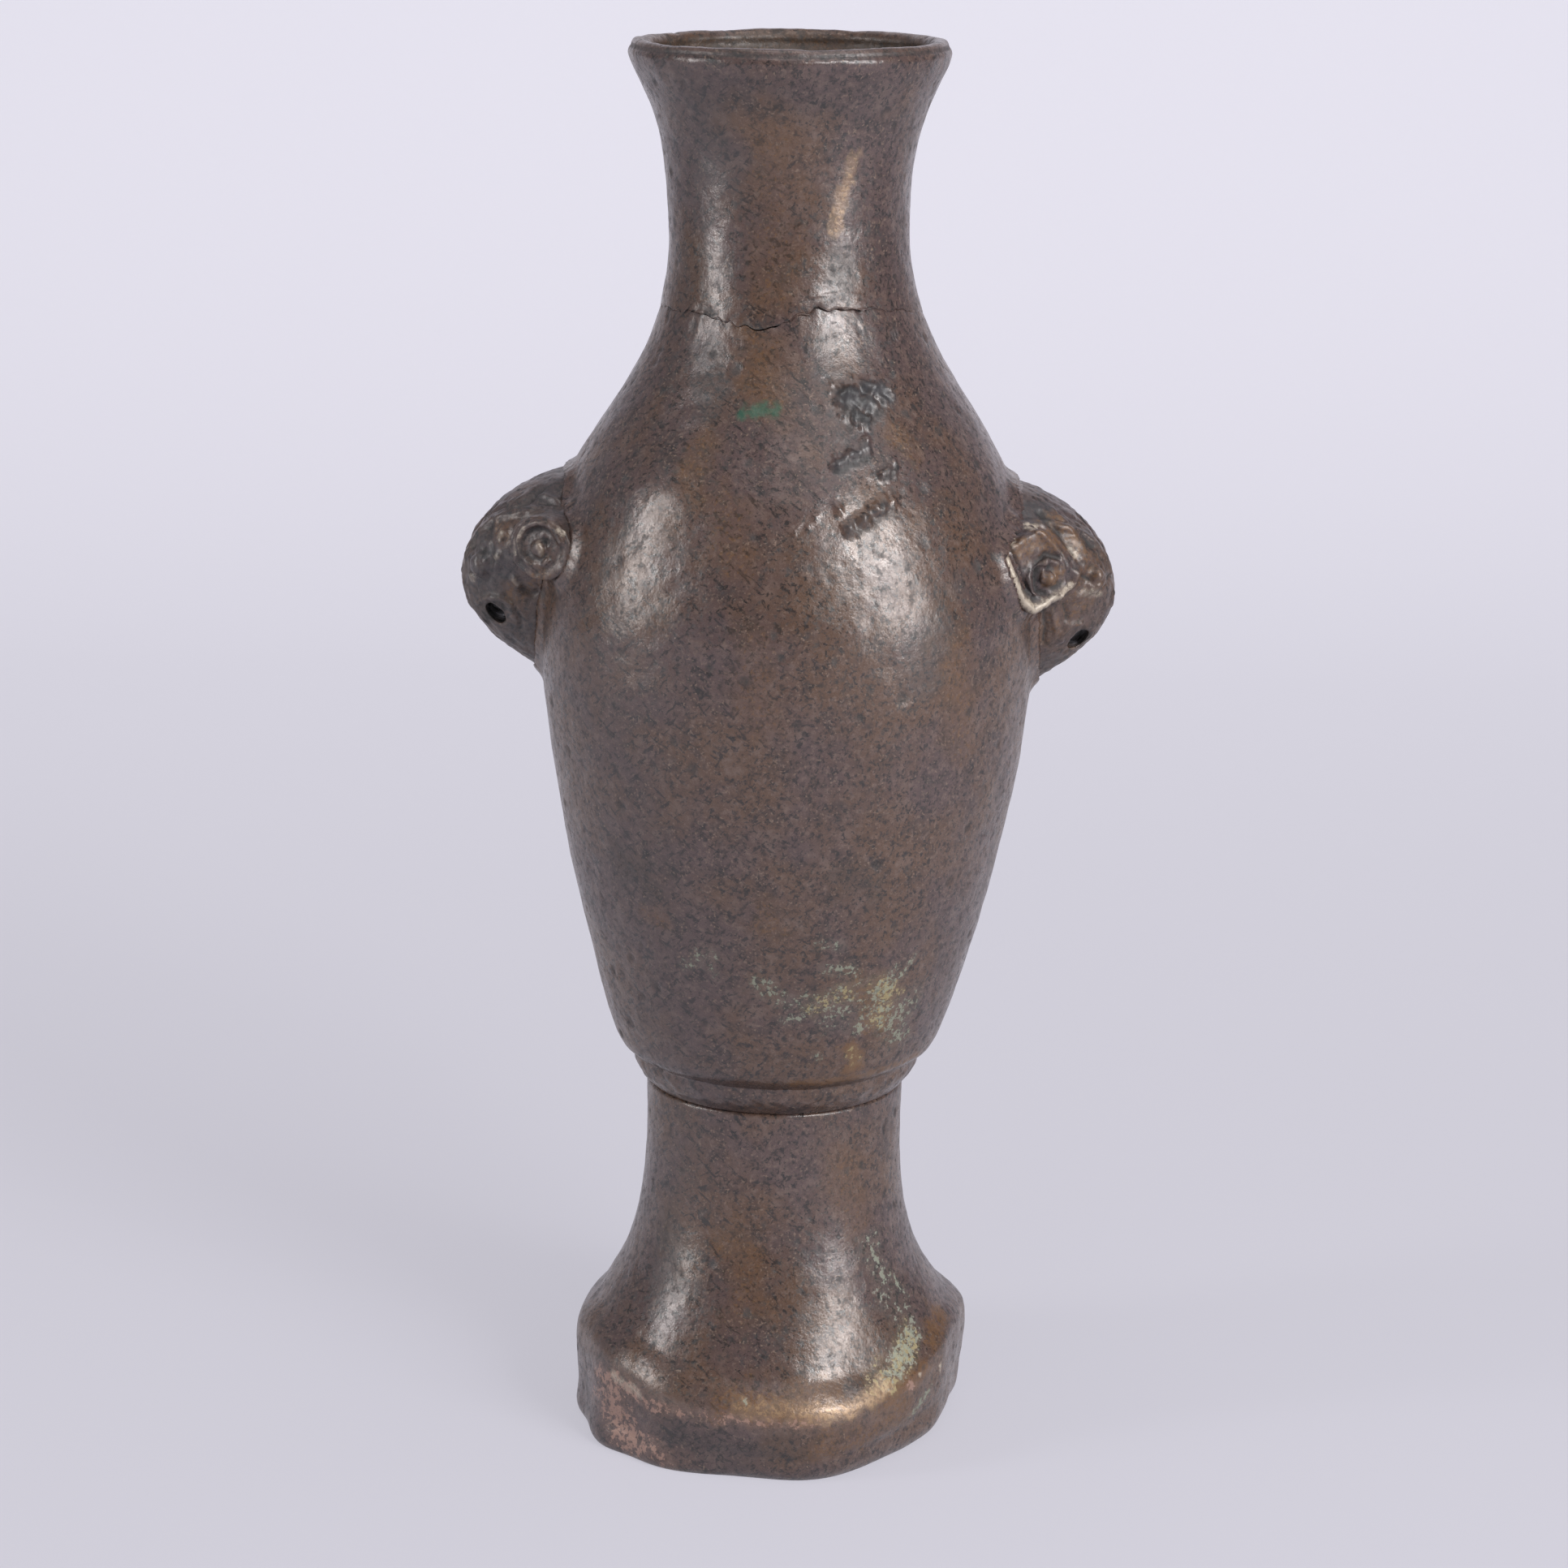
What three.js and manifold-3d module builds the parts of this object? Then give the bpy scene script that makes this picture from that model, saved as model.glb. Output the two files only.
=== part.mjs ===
// A small cast-bronze flower vase: a trumpet neck, a high-shouldered body and a stem foot, soldered
// together over spigots, with two beast-mask lugs tenoned into the shoulder and a base plate let in
// under the foot. Millimetres, +Z up. The origin is on the table, on the vase's axis. The masks face
// along X, and the side seen from the front is -Y.
import * as THREE from 'three';
import { mergeVertices } from 'three/addons/utils/BufferGeometryUtils.js';
import Module from 'manifold-3d';

const wasm = await Module();
wasm.setup();

// Sizes shared by all the castings
const WALL = 2.3; // thickness of the cast bronze
const SOLDER_GAP = 0.3; // film of solder in every joint
const TURNS = 48; // facets round the axis

// Foot: a waisted stem that flares into a low band, filed into soft facets
const FOOT_H = 43.9; // table to the seam under the moulding ring
const STEM_R = 15.7;
const STEM_WAIST_Z = 38; // where the flare has died out
const FLARE_POWER = 3;
const TABLE_R = 23.3; // mean radius of the band where it meets the table
const TABLE_EASE = 0.5; // worn corner there
const RIDGE_R = 24.5; // radius of the ridge over the band
const RIDGE_Z = 10;
const RIDGE_EDGE = 1.2; // height of the upright edge that the ridge stands up to
const RIDGE_SLANT = 0.9; // how much higher the ridge stands on the right, and lower on the left
const RIDGE_ROUND = 4.2; // radius of the soft shoulder over the ridge
const RIDGE_TURN = 42; // degrees that the shoulder turns in before the flare takes over
const ROUND_Z = 18; // above this height the foot is a true circle
const TABLE_BITE = 0.024; // depth of a facet at the table, for each degree that it spans
const RIDGE_BITE = 0.012; // and at the ridge
// Corners of the band, anticlockwise seen from above: angle from +X in degrees, and how far the
// corner stands out from the mean radius at the ridge and at the table
const BAND_CORNERS = [
  [10, 0.2, -0.4],
  [62, 0.1, -0.1],
  [112, 0.3, 0.7],
  [150, 0.2, 0.5],
  [186, 0.2, 1.0],
  [212, 0.3, 1.6],
  [236, 0.2, 0.7],
  [284, 0.3, 0.2],
  [345, -1.4, -2.0],
];

// Joint of foot and body: a spigot on the body stands in the bore of the stem
const STEM_BORE_R = 13.1;
const STEM_BORE_Z = 29; // lower end of the straight bore
const STEM_SPIGOT_L = 7;
const STEM_SPIGOT_WALL = 2.2;
const SEAM_CHAMFER = 0.3;

// Base plate in its rebate
const PLATE_R = 18.6;
const PLATE_T = 1.8;
const PLATE_RECESS = 3.0; // table to the underside of the plate
const PLATE_LEDGE = 1.6; // width of the ledge that the plate seats against
const PLATE_WELL = 10; // depth of the straight well, table to the start of the flare inside

// Body: moulding ring, belly, shoulder and root of the neck
const BODY_H = 95.1; // seam to seam
const RING_R = 17.8; // radius of the moulding ring at its upper edge
const RING_H = 3.7;
const RING_SQUARE = 0.9; // how squarely the ring swells: 1 is a quarter of a wave
const SHOULDER_R = 30.1;
const SHOULDER_AT = 0.622; // height of the widest place, as a share of the body
const SEAM_R = 15.3; // outer radius at the seam of neck and body
// Swell of the body, from the ring to the widest place and from there to the neck: share of the way
// up the body, and share of the way out to the widest radius
const BELLY_SWELL = [
  [0.0525, 0.11],
  [0.067, 0.17],
  [0.102, 0.265],
  [0.148, 0.355],
  [0.2745, 0.602],
  [0.421, 0.813],
  [0.537, 0.935],
];
const SHOULDER_SWELL = [
  [0.7055, 0.926],
  [0.8, 0.696],
  [0.8845, 0.362],
  [0.947, 0.13],
];

// Joint of neck and body: a spigot on the neck stands in the socket of the body
const NECK_SPIGOT_R = 12.7;
const NECK_SPIGOT_WALL = 1.4;
const NECK_LAP = 5;

// Neck: waist and trumpet mouth with a bead lip
const NECK_H = 31;
const NECK_WAIST_R = 14.05;
const NECK_WAIST_AT = 0.345; // height of the waist, as a share of the neck
const LIP_R = 17.45; // centre line of the bead
const LIP_BEAD = 1.15; // radius of the bead

// Mask lugs: beast heads that stand on the shoulder, with a spiral ear on each side
const MASK_ABOVE = 3; // tip of the head over the widest place of the body
const MASK_PROUD = 9; // tip of the head out from the widest place
const MASK_UP = 13; // from the tip up to the root
const MASK_DOWN = 11; // and down to the root
const ROOT_TOP_IN = 3.3; // upper root in from the widest place
const ROOT_LOW_IN = 0.7;
const CROWN_FALL = 1.3; // how soon the profile falls away over the tip: 1 is an ellipse
const JAW_FALL = 2.1; // and under it
const CROWN_HALF_W = 5.0; // half widths of the head from its upper root to its lower one
const BROW_HALF_W = 10.8;
const CHEEK_HALF_W = 8.6;
const SNOUT_HALF_W = 6.9;
const CHIN_HALF_W = 3.0;
const CHEEK_FULLNESS = 0.4; // how squarely the cheeks turn back: 0.5 is round
const EYE_R = 1.8;
const EYE_ACROSS = 5.6;
const EYE_UP = 2.6;
const EYE_SUNK = 0.9; // centre of the eye under the skin
const BROW_R = 0.95; // radius of the brow ridge
const BROW_SUNK = 0.7; // its centre line under the skin
const EAR_IN = 1.2; // centre of the ear, in from the widest place of the body
const EAR_ACROSS = 12.5;
const EAR_T = 4;
const EAR_FACING = 60; // degrees that the ear looks away from the mask's own front
const CURL_R = 0.5; // radius of the raised curl on the ear
const KNOB_R = 0.95;
// The two masks were made one at a time. Each has its ear's height over the tip, the ear's half sizes,
// how square it is (2 is an oval) and how far it leans to the body, the curl's start and sweep in
// degrees, its radii and its centre, and how far the ring hole sits under the tip.
const MASK_LEFT = {
  ear: { up: 6.0, long: 4.3, high: 3.8, square: 2, lean: 0 },
  curl: { from: 165, sweep: 310, outer: 3.3, inner: 1.9, out: 0.1, up: 0 },
  holeDrop: 3.3,
};
const MASK_RIGHT = {
  ear: { up: 4.9, long: 3.7, high: 4.5, square: 3.4, lean: 24 },
  curl: { from: 232, sweep: 190, outer: 2.5, inner: 2.1, out: 1.2, up: -0.9 },
  holeDrop: 4.8,
};
const HOLE_LONG = 1.5; // half sizes of the worn ring hole
const HOLE_SHORT = 0.9;
const HOLE_TILT = 47; // degrees from level, along the worn edge of the snout
const HOLE_IN = 4.6; // tip of the head to the hole
const NOSTRIL_CURL = 0.8; // line of the nostril outside the edge of the hole
const NOSTRIL_R = 0.6;
const NOSTRIL_SUNK = 0.35;
const TENON_W = 5;
const TENON_H = 9;
const TENON_PROUD = 0.8; // how far the tenon stands out inside the wall

const BODY_Z = FOOT_H + SOLDER_GAP;
const NECK_Z = FOOT_H + BODY_H;
const HEIGHT = NECK_Z + NECK_H;
const MASK_Z = FOOT_H + SHOULDER_AT * BODY_H + MASK_ABOVE;
const MASK_REACH = SHOULDER_R + MASK_PROUD;
const MASK_BACK_R = SHOULDER_R - 2.4 * WALL; // the head is drawn from behind the face of the wall
const HOLE_OUT = MASK_REACH - HOLE_IN;
const EAR_OUT = SHOULDER_R - EAR_IN;

const FULL_TURN = 360; // degrees
const rad = THREE.MathUtils.degToRad;

// Closed geometry with shared corners, as the solid library wants it
function toSolid(geometry) {
  const bare = geometry.index ? geometry.toNonIndexed() : geometry.clone();
  bare.deleteAttribute('normal');
  bare.deleteAttribute('uv');
  const merged = mergeVertices(bare, 1e-4);
  const mesh = new wasm.Mesh({
    numProp: 3,
    vertProperties: new Float32Array(merged.attributes.position.array),
    triVerts: new Uint32Array(merged.index.array),
  });
  return new wasm.Manifold(mesh);
}

function toGeometry(solid) {
  const mesh = solid.getMesh();
  const geometry = new THREE.BufferGeometry();
  geometry.setAttribute('position', new THREE.BufferAttribute(mesh.vertProperties, 3));
  geometry.setIndex(new THREE.BufferAttribute(mesh.triVerts, 1));
  geometry.computeVertexNormals();
  return geometry;
}

// Turns a closed outline of (radius, height) points about the vertical axis
function turned(outline) {
  const points = outline.map(([r, z]) => new THREE.Vector2(r, z));
  points.push(points[0].clone());
  return new THREE.LatheGeometry(points, TURNS).rotateX(Math.PI / 2);
}

// Skins a stack of rings: closed end to end when looped, else with a flat cap on each end
function loft(rings, looped) {
  const count = rings[0].length;
  const positions = rings.flat().flatMap((p) => [p.x, p.y, p.z]);
  const index = [];
  const spans = looped ? rings.length : rings.length - 1;
  for (let i = 0; i < spans; i += 1) {
    const low = i * count;
    const high = ((i + 1) % rings.length) * count;
    for (let j = 0; j < count; j += 1) {
      const next = (j + 1) % count;
      index.push(low + j, low + next, high + next, low + j, high + next, high + j);
    }
  }
  if (!looped) {
    const last = (rings.length - 1) * count;
    for (let j = 1; j < count - 1; j += 1) {
      index.push(0, j + 1, j, last, last + j, last + j + 1);
    }
  }
  const geometry = new THREE.BufferGeometry();
  geometry.setAttribute('position', new THREE.Float32BufferAttribute(positions, 3));
  geometry.setIndex(index);
  return geometry;
}

// Smooth outline through (radius, height) stations
function smooth(stations, steps) {
  const curve = new THREE.SplineCurve(stations.map(([r, z]) => new THREE.Vector2(r, z)));
  return curve.getSpacedPoints(steps).map((p) => [p.x, p.y]);
}

// The same outline moved sideways along its normals; positive is to the right of the way it runs
function offset(outline, distance) {
  return outline.map(([r, z], i) => {
    const before = outline[Math.max(i - 1, 0)];
    const after = outline[Math.min(i + 1, outline.length - 1)];
    const run = new THREE.Vector2(after[0] - before[0], after[1] - before[1]).normalize();
    return [r + distance * run.y, z - distance * run.x];
  });
}

function arc(centreR, centreZ, radius, fromDeg, toDeg, steps) {
  const points = [];
  for (let i = 0; i <= steps; i += 1) {
    const angle = rad(fromDeg + ((toDeg - fromDeg) * i) / steps);
    points.push([centreR + radius * Math.cos(angle), centreZ + radius * Math.sin(angle)]);
  }
  return points;
}

// Neck
function neckOutline() {
  const lipTangent = -27;
  const bead = arc(LIP_R, HEIGHT - LIP_BEAD, LIP_BEAD, lipTangent, 200, 7);
  const flare = (share) => NECK_WAIST_R + share * (LIP_R - NECK_WAIST_R);
  const outer = smooth([
    [SEAM_R, NECK_Z],
    [THREE.MathUtils.lerp(SEAM_R, NECK_WAIST_R, 0.79), NECK_Z + 0.48 * NECK_WAIST_AT * NECK_H],
    [NECK_WAIST_R, NECK_Z + NECK_WAIST_AT * NECK_H],
    [flare(0.15), NECK_Z + 0.55 * NECK_H],
    [flare(0.55), NECK_Z + 0.74 * NECK_H],
    bead[0],
  ], 10);
  const bore = NECK_SPIGOT_R - NECK_SPIGOT_WALL;
  const inner = offset(outer.slice(3, -1), -WALL).filter(([r]) => r > bore).reverse();
  return [
    [NECK_SPIGOT_R, NECK_Z - NECK_LAP],
    [NECK_SPIGOT_R, NECK_Z],
    ...outer.slice(0, -1),
    ...bead,
    ...inner,
    [bore, NECK_Z + WALL],
    [bore, NECK_Z - NECK_LAP],
  ];
}

// Body
function bodyOuter() {
  const level = (share) => FOOT_H + share * BODY_H;
  const swell = (from, share) => THREE.MathUtils.lerp(from, SHOULDER_R, share);
  return smooth([
    ...BELLY_SWELL.map(([up, out]) => [swell(RING_R, out), level(up)]),
    [SHOULDER_R, level(SHOULDER_AT)],
    ...SHOULDER_SWELL.map(([up, out]) => [swell(SEAM_R, out), level(up)]),
    [SEAM_R, NECK_Z - SOLDER_GAP],
  ], 22);
}

function bodyOutline() {
  const outer = bodyOuter();
  const ring = [];
  for (const share of [0, 0.35, 0.7, 1]) {
    ring.push([
      THREE.MathUtils.lerp(STEM_R, RING_R, Math.sin((share * Math.PI) / 2) ** RING_SQUARE),
      BODY_Z + share * RING_H,
    ]);
  }
  const spigotR = STEM_BORE_R - SOLDER_GAP;
  const spigotBore = spigotR - STEM_SPIGOT_WALL;
  const socketR = NECK_SPIGOT_R + SOLDER_GAP;
  const socketZ = NECK_Z - NECK_LAP - SOLDER_GAP;
  const inner = offset(outer, -WALL).filter(([, z], i) => z < socketZ - WALL && i % 2 === 0).reverse();
  return [
    [spigotR, BODY_Z - STEM_SPIGOT_L],
    [spigotR, BODY_Z],
    ...ring,
    ...outer,
    [socketR, NECK_Z - SOLDER_GAP],
    [socketR, socketZ],
    ...inner,
    [spigotBore, BODY_Z + WALL],
    [spigotBore, BODY_Z - STEM_SPIGOT_L],
  ];
}

// Plan of the band: soft facets between unevenly spaced corners, as filed by hand. Gives how far the
// outline stands out from its mean radius at the ridge and at the table.
function bandOffsets(angle) {
  const degrees = THREE.MathUtils.euclideanModulo(THREE.MathUtils.radToDeg(angle), FULL_TURN);
  const count = BAND_CORNERS.length;
  for (let i = 0; i < count; i += 1) {
    const [from, ridgeFrom, tableFrom] = BAND_CORNERS[i];
    const [to, ridgeTo, tableTo] = BAND_CORNERS[(i + 1) % count];
    const span = THREE.MathUtils.euclideanModulo(to - from, FULL_TURN);
    const along = THREE.MathUtils.euclideanModulo(degrees - from, FULL_TURN);
    if (along <= span) {
      const share = along / span;
      const dip = span * Math.sin(Math.PI * share) ** 2;
      return [
        THREE.MathUtils.lerp(ridgeFrom, ridgeTo, share) - RIDGE_BITE * dip,
        THREE.MathUtils.lerp(tableFrom, tableTo, share) - TABLE_BITE * dip,
      ];
    }
  }
  return [0, 0];
}

// Foot
function footRing([r, z], filed) {
  const ring = [];
  const rise = Math.min(z / RIDGE_Z, 1);
  const fade = filed ? 1 - THREE.MathUtils.smoothstep(z, RIDGE_Z, ROUND_Z) : 0;
  for (let j = 0; j < TURNS; j += 1) {
    const angle = (j * 2 * Math.PI) / TURNS;
    const [atRidge, atTable] = bandOffsets(angle);
    const grown = r + fade * THREE.MathUtils.lerp(atTable, atRidge, rise);
    const raised = z + fade * rise * RIDGE_SLANT * Math.cos(angle);
    ring.push(new THREE.Vector3(grown * Math.cos(angle), grown * Math.sin(angle), raised));
  }
  return ring;
}

function footGeometry() {
  const ridge = arc(RIDGE_R - RIDGE_ROUND, RIDGE_Z + RIDGE_EDGE, RIDGE_ROUND, 0, RIDGE_TURN, 2);
  const [flareR, flareZ] = ridge[ridge.length - 1];
  const flare = [];
  const steps = 10;
  for (let i = 1; i <= steps; i += 1) {
    const share = (i / steps) ** 1.2;
    flare.push([
      THREE.MathUtils.lerp(STEM_R, flareR, (1 - share) ** FLARE_POWER),
      THREE.MathUtils.lerp(flareZ, STEM_WAIST_Z, share),
    ]);
  }
  const rebateR = PLATE_R + SOLDER_GAP;
  const ledgeR = PLATE_R - PLATE_LEDGE;
  const ledgeZ = PLATE_RECESS + PLATE_T + SOLDER_GAP;
  const inner = offset(flare, -WALL).filter(([r, z]) => {
    return r > STEM_BORE_R && r < ledgeR && z > PLATE_WELL && z < STEM_BORE_Z;
  }).reverse();
  const filed = [
    [TABLE_R - TABLE_EASE, 0],
    [TABLE_R, TABLE_EASE],
    [THREE.MathUtils.lerp(TABLE_R, RIDGE_R, 0.6), RIDGE_Z / 2],
    [RIDGE_R, RIDGE_Z],
    ...ridge,
    ...flare,
  ];
  const round = [
    [STEM_R, FOOT_H - SEAM_CHAMFER],
    [STEM_R - SEAM_CHAMFER, FOOT_H],
    [STEM_BORE_R, FOOT_H],
    [STEM_BORE_R, STEM_BORE_Z],
    ...inner,
    [ledgeR, PLATE_WELL],
    [ledgeR, ledgeZ],
    [rebateR, ledgeZ],
    [rebateR, 0],
  ];
  const rings = filed.map((point) => footRing(point, true));
  return loft(rings.concat(round.map((point) => footRing(point, false))), true);
}

// Base plate
function plateGeometry() {
  return new THREE.CylinderGeometry(PLATE_R, PLATE_R, PLATE_T, TURNS)
    .rotateX(Math.PI / 2)
    .translate(0, 0, PLATE_RECESS + PLATE_T / 2);
}

// Mask lug, drawn facing +X with its tip at the height of zero
function maskReach(z) {
  const up = z >= 0;
  const rise = Math.min(Math.abs(z) / (up ? MASK_UP : MASK_DOWN), 1);
  const root = SHOULDER_R - (up ? ROOT_TOP_IN : ROOT_LOW_IN);
  return root + (MASK_REACH - root) * Math.sqrt(1 - rise * rise) ** (up ? CROWN_FALL : JAW_FALL);
}

const widths = new THREE.CubicInterpolant(
  [-MASK_DOWN, -MASK_DOWN / 2, 0, MASK_UP / 2, MASK_UP],
  [CHIN_HALF_W, SNOUT_HALF_W, CHEEK_HALF_W, BROW_HALF_W, CROWN_HALF_W],
  1,
  new Float32Array(1),
);

function maskHalfWidth(z) {
  return widths.evaluate(THREE.MathUtils.clamp(z, -MASK_DOWN, MASK_UP))[0];
}

// A point of the head's skin, given across and up, sunk under it by a little
function onFace(y, z, sunk) {
  const share = Math.min(Math.abs(y) / maskHalfWidth(z), 1);
  const depth = (1 - share * share) ** CHEEK_FULLNESS;
  return new THREE.Vector3(MASK_BACK_R + (maskReach(z) - MASK_BACK_R) * depth - sunk, y, z);
}

// A point of the cheek on the -Y side, given out and up, sunk under it by a little
function onCheek(x, z, sunk) {
  const depth = THREE.MathUtils.clamp((x - MASK_BACK_R) / (maskReach(z) - MASK_BACK_R), 0, 1);
  const share = Math.sqrt(1 - depth ** (1 / CHEEK_FULLNESS));
  return new THREE.Vector3(x, sunk - share * maskHalfWidth(z), z);
}

function headSolid() {
  const rings = [];
  const levels = 17;
  const sides = 14;
  for (let i = 0; i <= levels; i += 1) {
    const angle = -Math.PI / 2 + (Math.PI * i) / levels;
    const z = Math.sin(angle) * (angle > 0 ? MASK_UP : MASK_DOWN);
    const ring = [];
    for (let j = 0; j <= sides; j += 1) {
      const across = Math.sin(-Math.PI / 2 + (Math.PI * j) / sides);
      ring.push(onFace(across * maskHalfWidth(z), z, 0));
    }
    rings.push(ring);
  }
  return toSolid(loft(rings, false));
}

// A round wire bent along a curve
function wire(points, radius, steps) {
  const section = new THREE.Shape();
  section.absarc(0, 0, radius, 0, 2 * Math.PI);
  return new THREE.ExtrudeGeometry(section, {
    extrudePath: new THREE.CatmullRomCurve3(points),
    steps,
    curveSegments: 3,
  });
}

// Ear on the -Y side: an oval or squarish plate with a raised curl round a knob
function earSolid({ ear, curl }) {
  const turn = rad(EAR_FACING);
  const facing = new THREE.Vector3(Math.cos(turn), -Math.sin(turn), 0);
  const upright = new THREE.Vector3(0, 0, 1);
  const along = new THREE.Vector3().crossVectors(upright, facing);
  const plane = new THREE.Matrix4().makeBasis(along, upright, facing)
    .setPosition(EAR_OUT, -EAR_ACROSS, ear.up);
  const outline = [];
  const sides = 20;
  for (let i = 0; i < sides; i += 1) {
    const angle = (i * 2 * Math.PI) / sides;
    const power = 2 / ear.square;
    const corner = new THREE.Vector2(
      ear.long * Math.sign(Math.cos(angle)) * Math.abs(Math.cos(angle)) ** power,
      ear.high * Math.sign(Math.sin(angle)) * Math.abs(Math.sin(angle)) ** power,
    );
    outline.push(corner.rotateAround(new THREE.Vector2(), rad(ear.lean)));
  }
  const plate = new THREE.ExtrudeGeometry(new THREE.Shape(outline), { depth: EAR_T, bevelEnabled: false })
    .translate(0, 0, -EAR_T)
    .applyMatrix4(plane);
  const line = [];
  const marks = 12;
  for (let i = 0; i <= marks; i += 1) {
    const share = i / marks;
    const angle = rad(curl.from - curl.sweep * share);
    const r = THREE.MathUtils.lerp(curl.outer, curl.inner, share);
    const mark = new THREE.Vector3(curl.out + r * Math.cos(angle), curl.up + r * Math.sin(angle), 0);
    line.push(mark.applyMatrix4(plane));
  }
  const knob = new THREE.SphereGeometry(KNOB_R, 8, 6).translate(curl.out, curl.up, 0).applyMatrix4(plane);
  return toSolid(plate).add(toSolid(wire(line, CURL_R, 16))).add(toSolid(knob));
}

// Brow ridge from the bridge of the nose to the top of the ear
function browSolid() {
  const route = [[0.19, 0.2], [0.31, 0.46], [0.56, 0.65], [0.8, 0.72], [0.91, 0.72]];
  const points = route.map(([across, up]) => onFace(-across * BROW_HALF_W, up * MASK_UP, BROW_SUNK));
  return toSolid(wire(points, BROW_R, 9));
}

function eyeSolid() {
  const at = onFace(-EYE_ACROSS, EYE_UP, EYE_SUNK);
  return toSolid(new THREE.SphereGeometry(EYE_R, 9, 6).translate(at.x, at.y, at.z));
}

// Raised curl over the inner side of the ring hole
function nostrilSolid(holeDrop) {
  const points = [];
  for (const degrees of [80, 115, 150, 185]) {
    const x = HOLE_OUT + (HOLE_LONG + NOSTRIL_CURL) * Math.cos(rad(degrees));
    const z = -holeDrop + (HOLE_LONG + NOSTRIL_CURL) * Math.sin(rad(degrees));
    points.push(onCheek(x, z, NOSTRIL_SUNK));
  }
  return toSolid(wire(points, NOSTRIL_R, 6));
}

function tenonSolid() {
  const inner = SHOULDER_R - WALL - TENON_PROUD;
  const length = SHOULDER_R + WALL - inner;
  return toSolid(new THREE.BoxGeometry(length, TENON_W, TENON_H).translate(inner + length / 2, 0, 0));
}

function mortiseSolid() {
  const length = 4 * WALL;
  const width = TENON_W + 2 * SOLDER_GAP;
  const height = TENON_H + 2 * SOLDER_GAP;
  return toSolid(new THREE.BoxGeometry(length, width, height).translate(SHOULDER_R - WALL / 2, 0, 0));
}

function lugSolid(mask) {
  const skin = offset(bodyOuter(), SOLDER_GAP);
  const foundation = [[0, skin[0][1]], ...skin, [0, skin[skin.length - 1][1]]];
  const wall = toSolid(turned(foundation)).translate([0, 0, -MASK_Z]);
  const hole = new THREE.CylinderGeometry(1, 1, 3 * SNOUT_HALF_W, 14)
    .scale(HOLE_LONG, 1, HOLE_SHORT)
    .rotateY(-rad(HOLE_TILT))
    .translate(HOLE_OUT, 0, -mask.holeDrop);
  const features = earSolid(mask).add(browSolid()).add(eyeSolid()).add(nostrilSolid(mask.holeDrop));
  return headSolid()
    .add(features)
    .add(features.mirror([0, 1, 0]))
    .subtract(wall)
    .subtract(toSolid(hole))
    .add(tenonSolid());
}

// Bronze, a little different on each casting
function bronze(color) {
  return new THREE.MeshStandardMaterial({ color, roughness: 0.42, metalness: 0.75 });
}

function piece(name, geometry, color) {
  const mesh = new THREE.Mesh(geometry, bronze(color));
  mesh.name = name;
  return mesh;
}

const vase = new THREE.Group();

const mortise = mortiseSolid();
const mortiseRight = mortise.translate([0, 0, MASK_Z]);
const mortiseLeft = mortiseRight.rotate([0, 0, 180]);
const body = toSolid(turned(bodyOutline())).subtract(mortiseRight).subtract(mortiseLeft);

vase.add(piece('neck', turned(neckOutline()), 0x5d4a3f));
vase.add(piece('body', toGeometry(body), 0x59483f));
vase.add(piece('foot', footGeometry(), 0x56443a));
vase.add(piece('base_plate', plateGeometry(), 0x4c4038));

const handleRight = piece('handle_right', toGeometry(lugSolid(MASK_RIGHT)), 0x5a4a40);
handleRight.position.z = MASK_Z;
vase.add(handleRight);

const handleLeft = piece('handle_left', toGeometry(lugSolid(MASK_LEFT)), 0x5a4a40);
handleLeft.position.z = MASK_Z;
handleLeft.rotation.z = Math.PI;
vase.add(handleLeft);

export default vase;
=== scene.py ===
import math

import bmesh
import bpy
import numpy as np
from mathutils import Matrix, Vector
from mathutils.bvhtree import BVHTree
from mathutils.kdtree import KDTree


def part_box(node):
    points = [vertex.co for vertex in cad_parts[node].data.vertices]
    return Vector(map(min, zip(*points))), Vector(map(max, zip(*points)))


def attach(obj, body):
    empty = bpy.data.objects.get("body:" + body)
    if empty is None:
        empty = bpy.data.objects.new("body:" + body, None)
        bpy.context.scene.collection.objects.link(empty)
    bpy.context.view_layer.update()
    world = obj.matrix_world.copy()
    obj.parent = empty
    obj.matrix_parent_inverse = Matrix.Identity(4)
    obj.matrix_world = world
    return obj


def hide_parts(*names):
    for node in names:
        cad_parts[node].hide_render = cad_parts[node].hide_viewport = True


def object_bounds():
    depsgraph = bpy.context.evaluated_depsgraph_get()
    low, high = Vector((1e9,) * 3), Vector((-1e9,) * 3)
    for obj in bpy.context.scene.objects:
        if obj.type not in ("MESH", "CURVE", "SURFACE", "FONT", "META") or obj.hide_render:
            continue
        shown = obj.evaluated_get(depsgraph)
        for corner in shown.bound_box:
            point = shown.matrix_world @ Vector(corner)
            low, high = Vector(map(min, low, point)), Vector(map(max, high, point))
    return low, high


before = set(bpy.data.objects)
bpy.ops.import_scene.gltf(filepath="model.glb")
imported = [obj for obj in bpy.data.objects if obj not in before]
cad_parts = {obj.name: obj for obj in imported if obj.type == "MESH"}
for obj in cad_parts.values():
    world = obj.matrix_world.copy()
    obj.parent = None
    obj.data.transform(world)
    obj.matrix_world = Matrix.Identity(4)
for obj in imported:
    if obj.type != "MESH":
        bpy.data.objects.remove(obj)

MM = 0.001
CAD_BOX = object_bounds()

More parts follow.
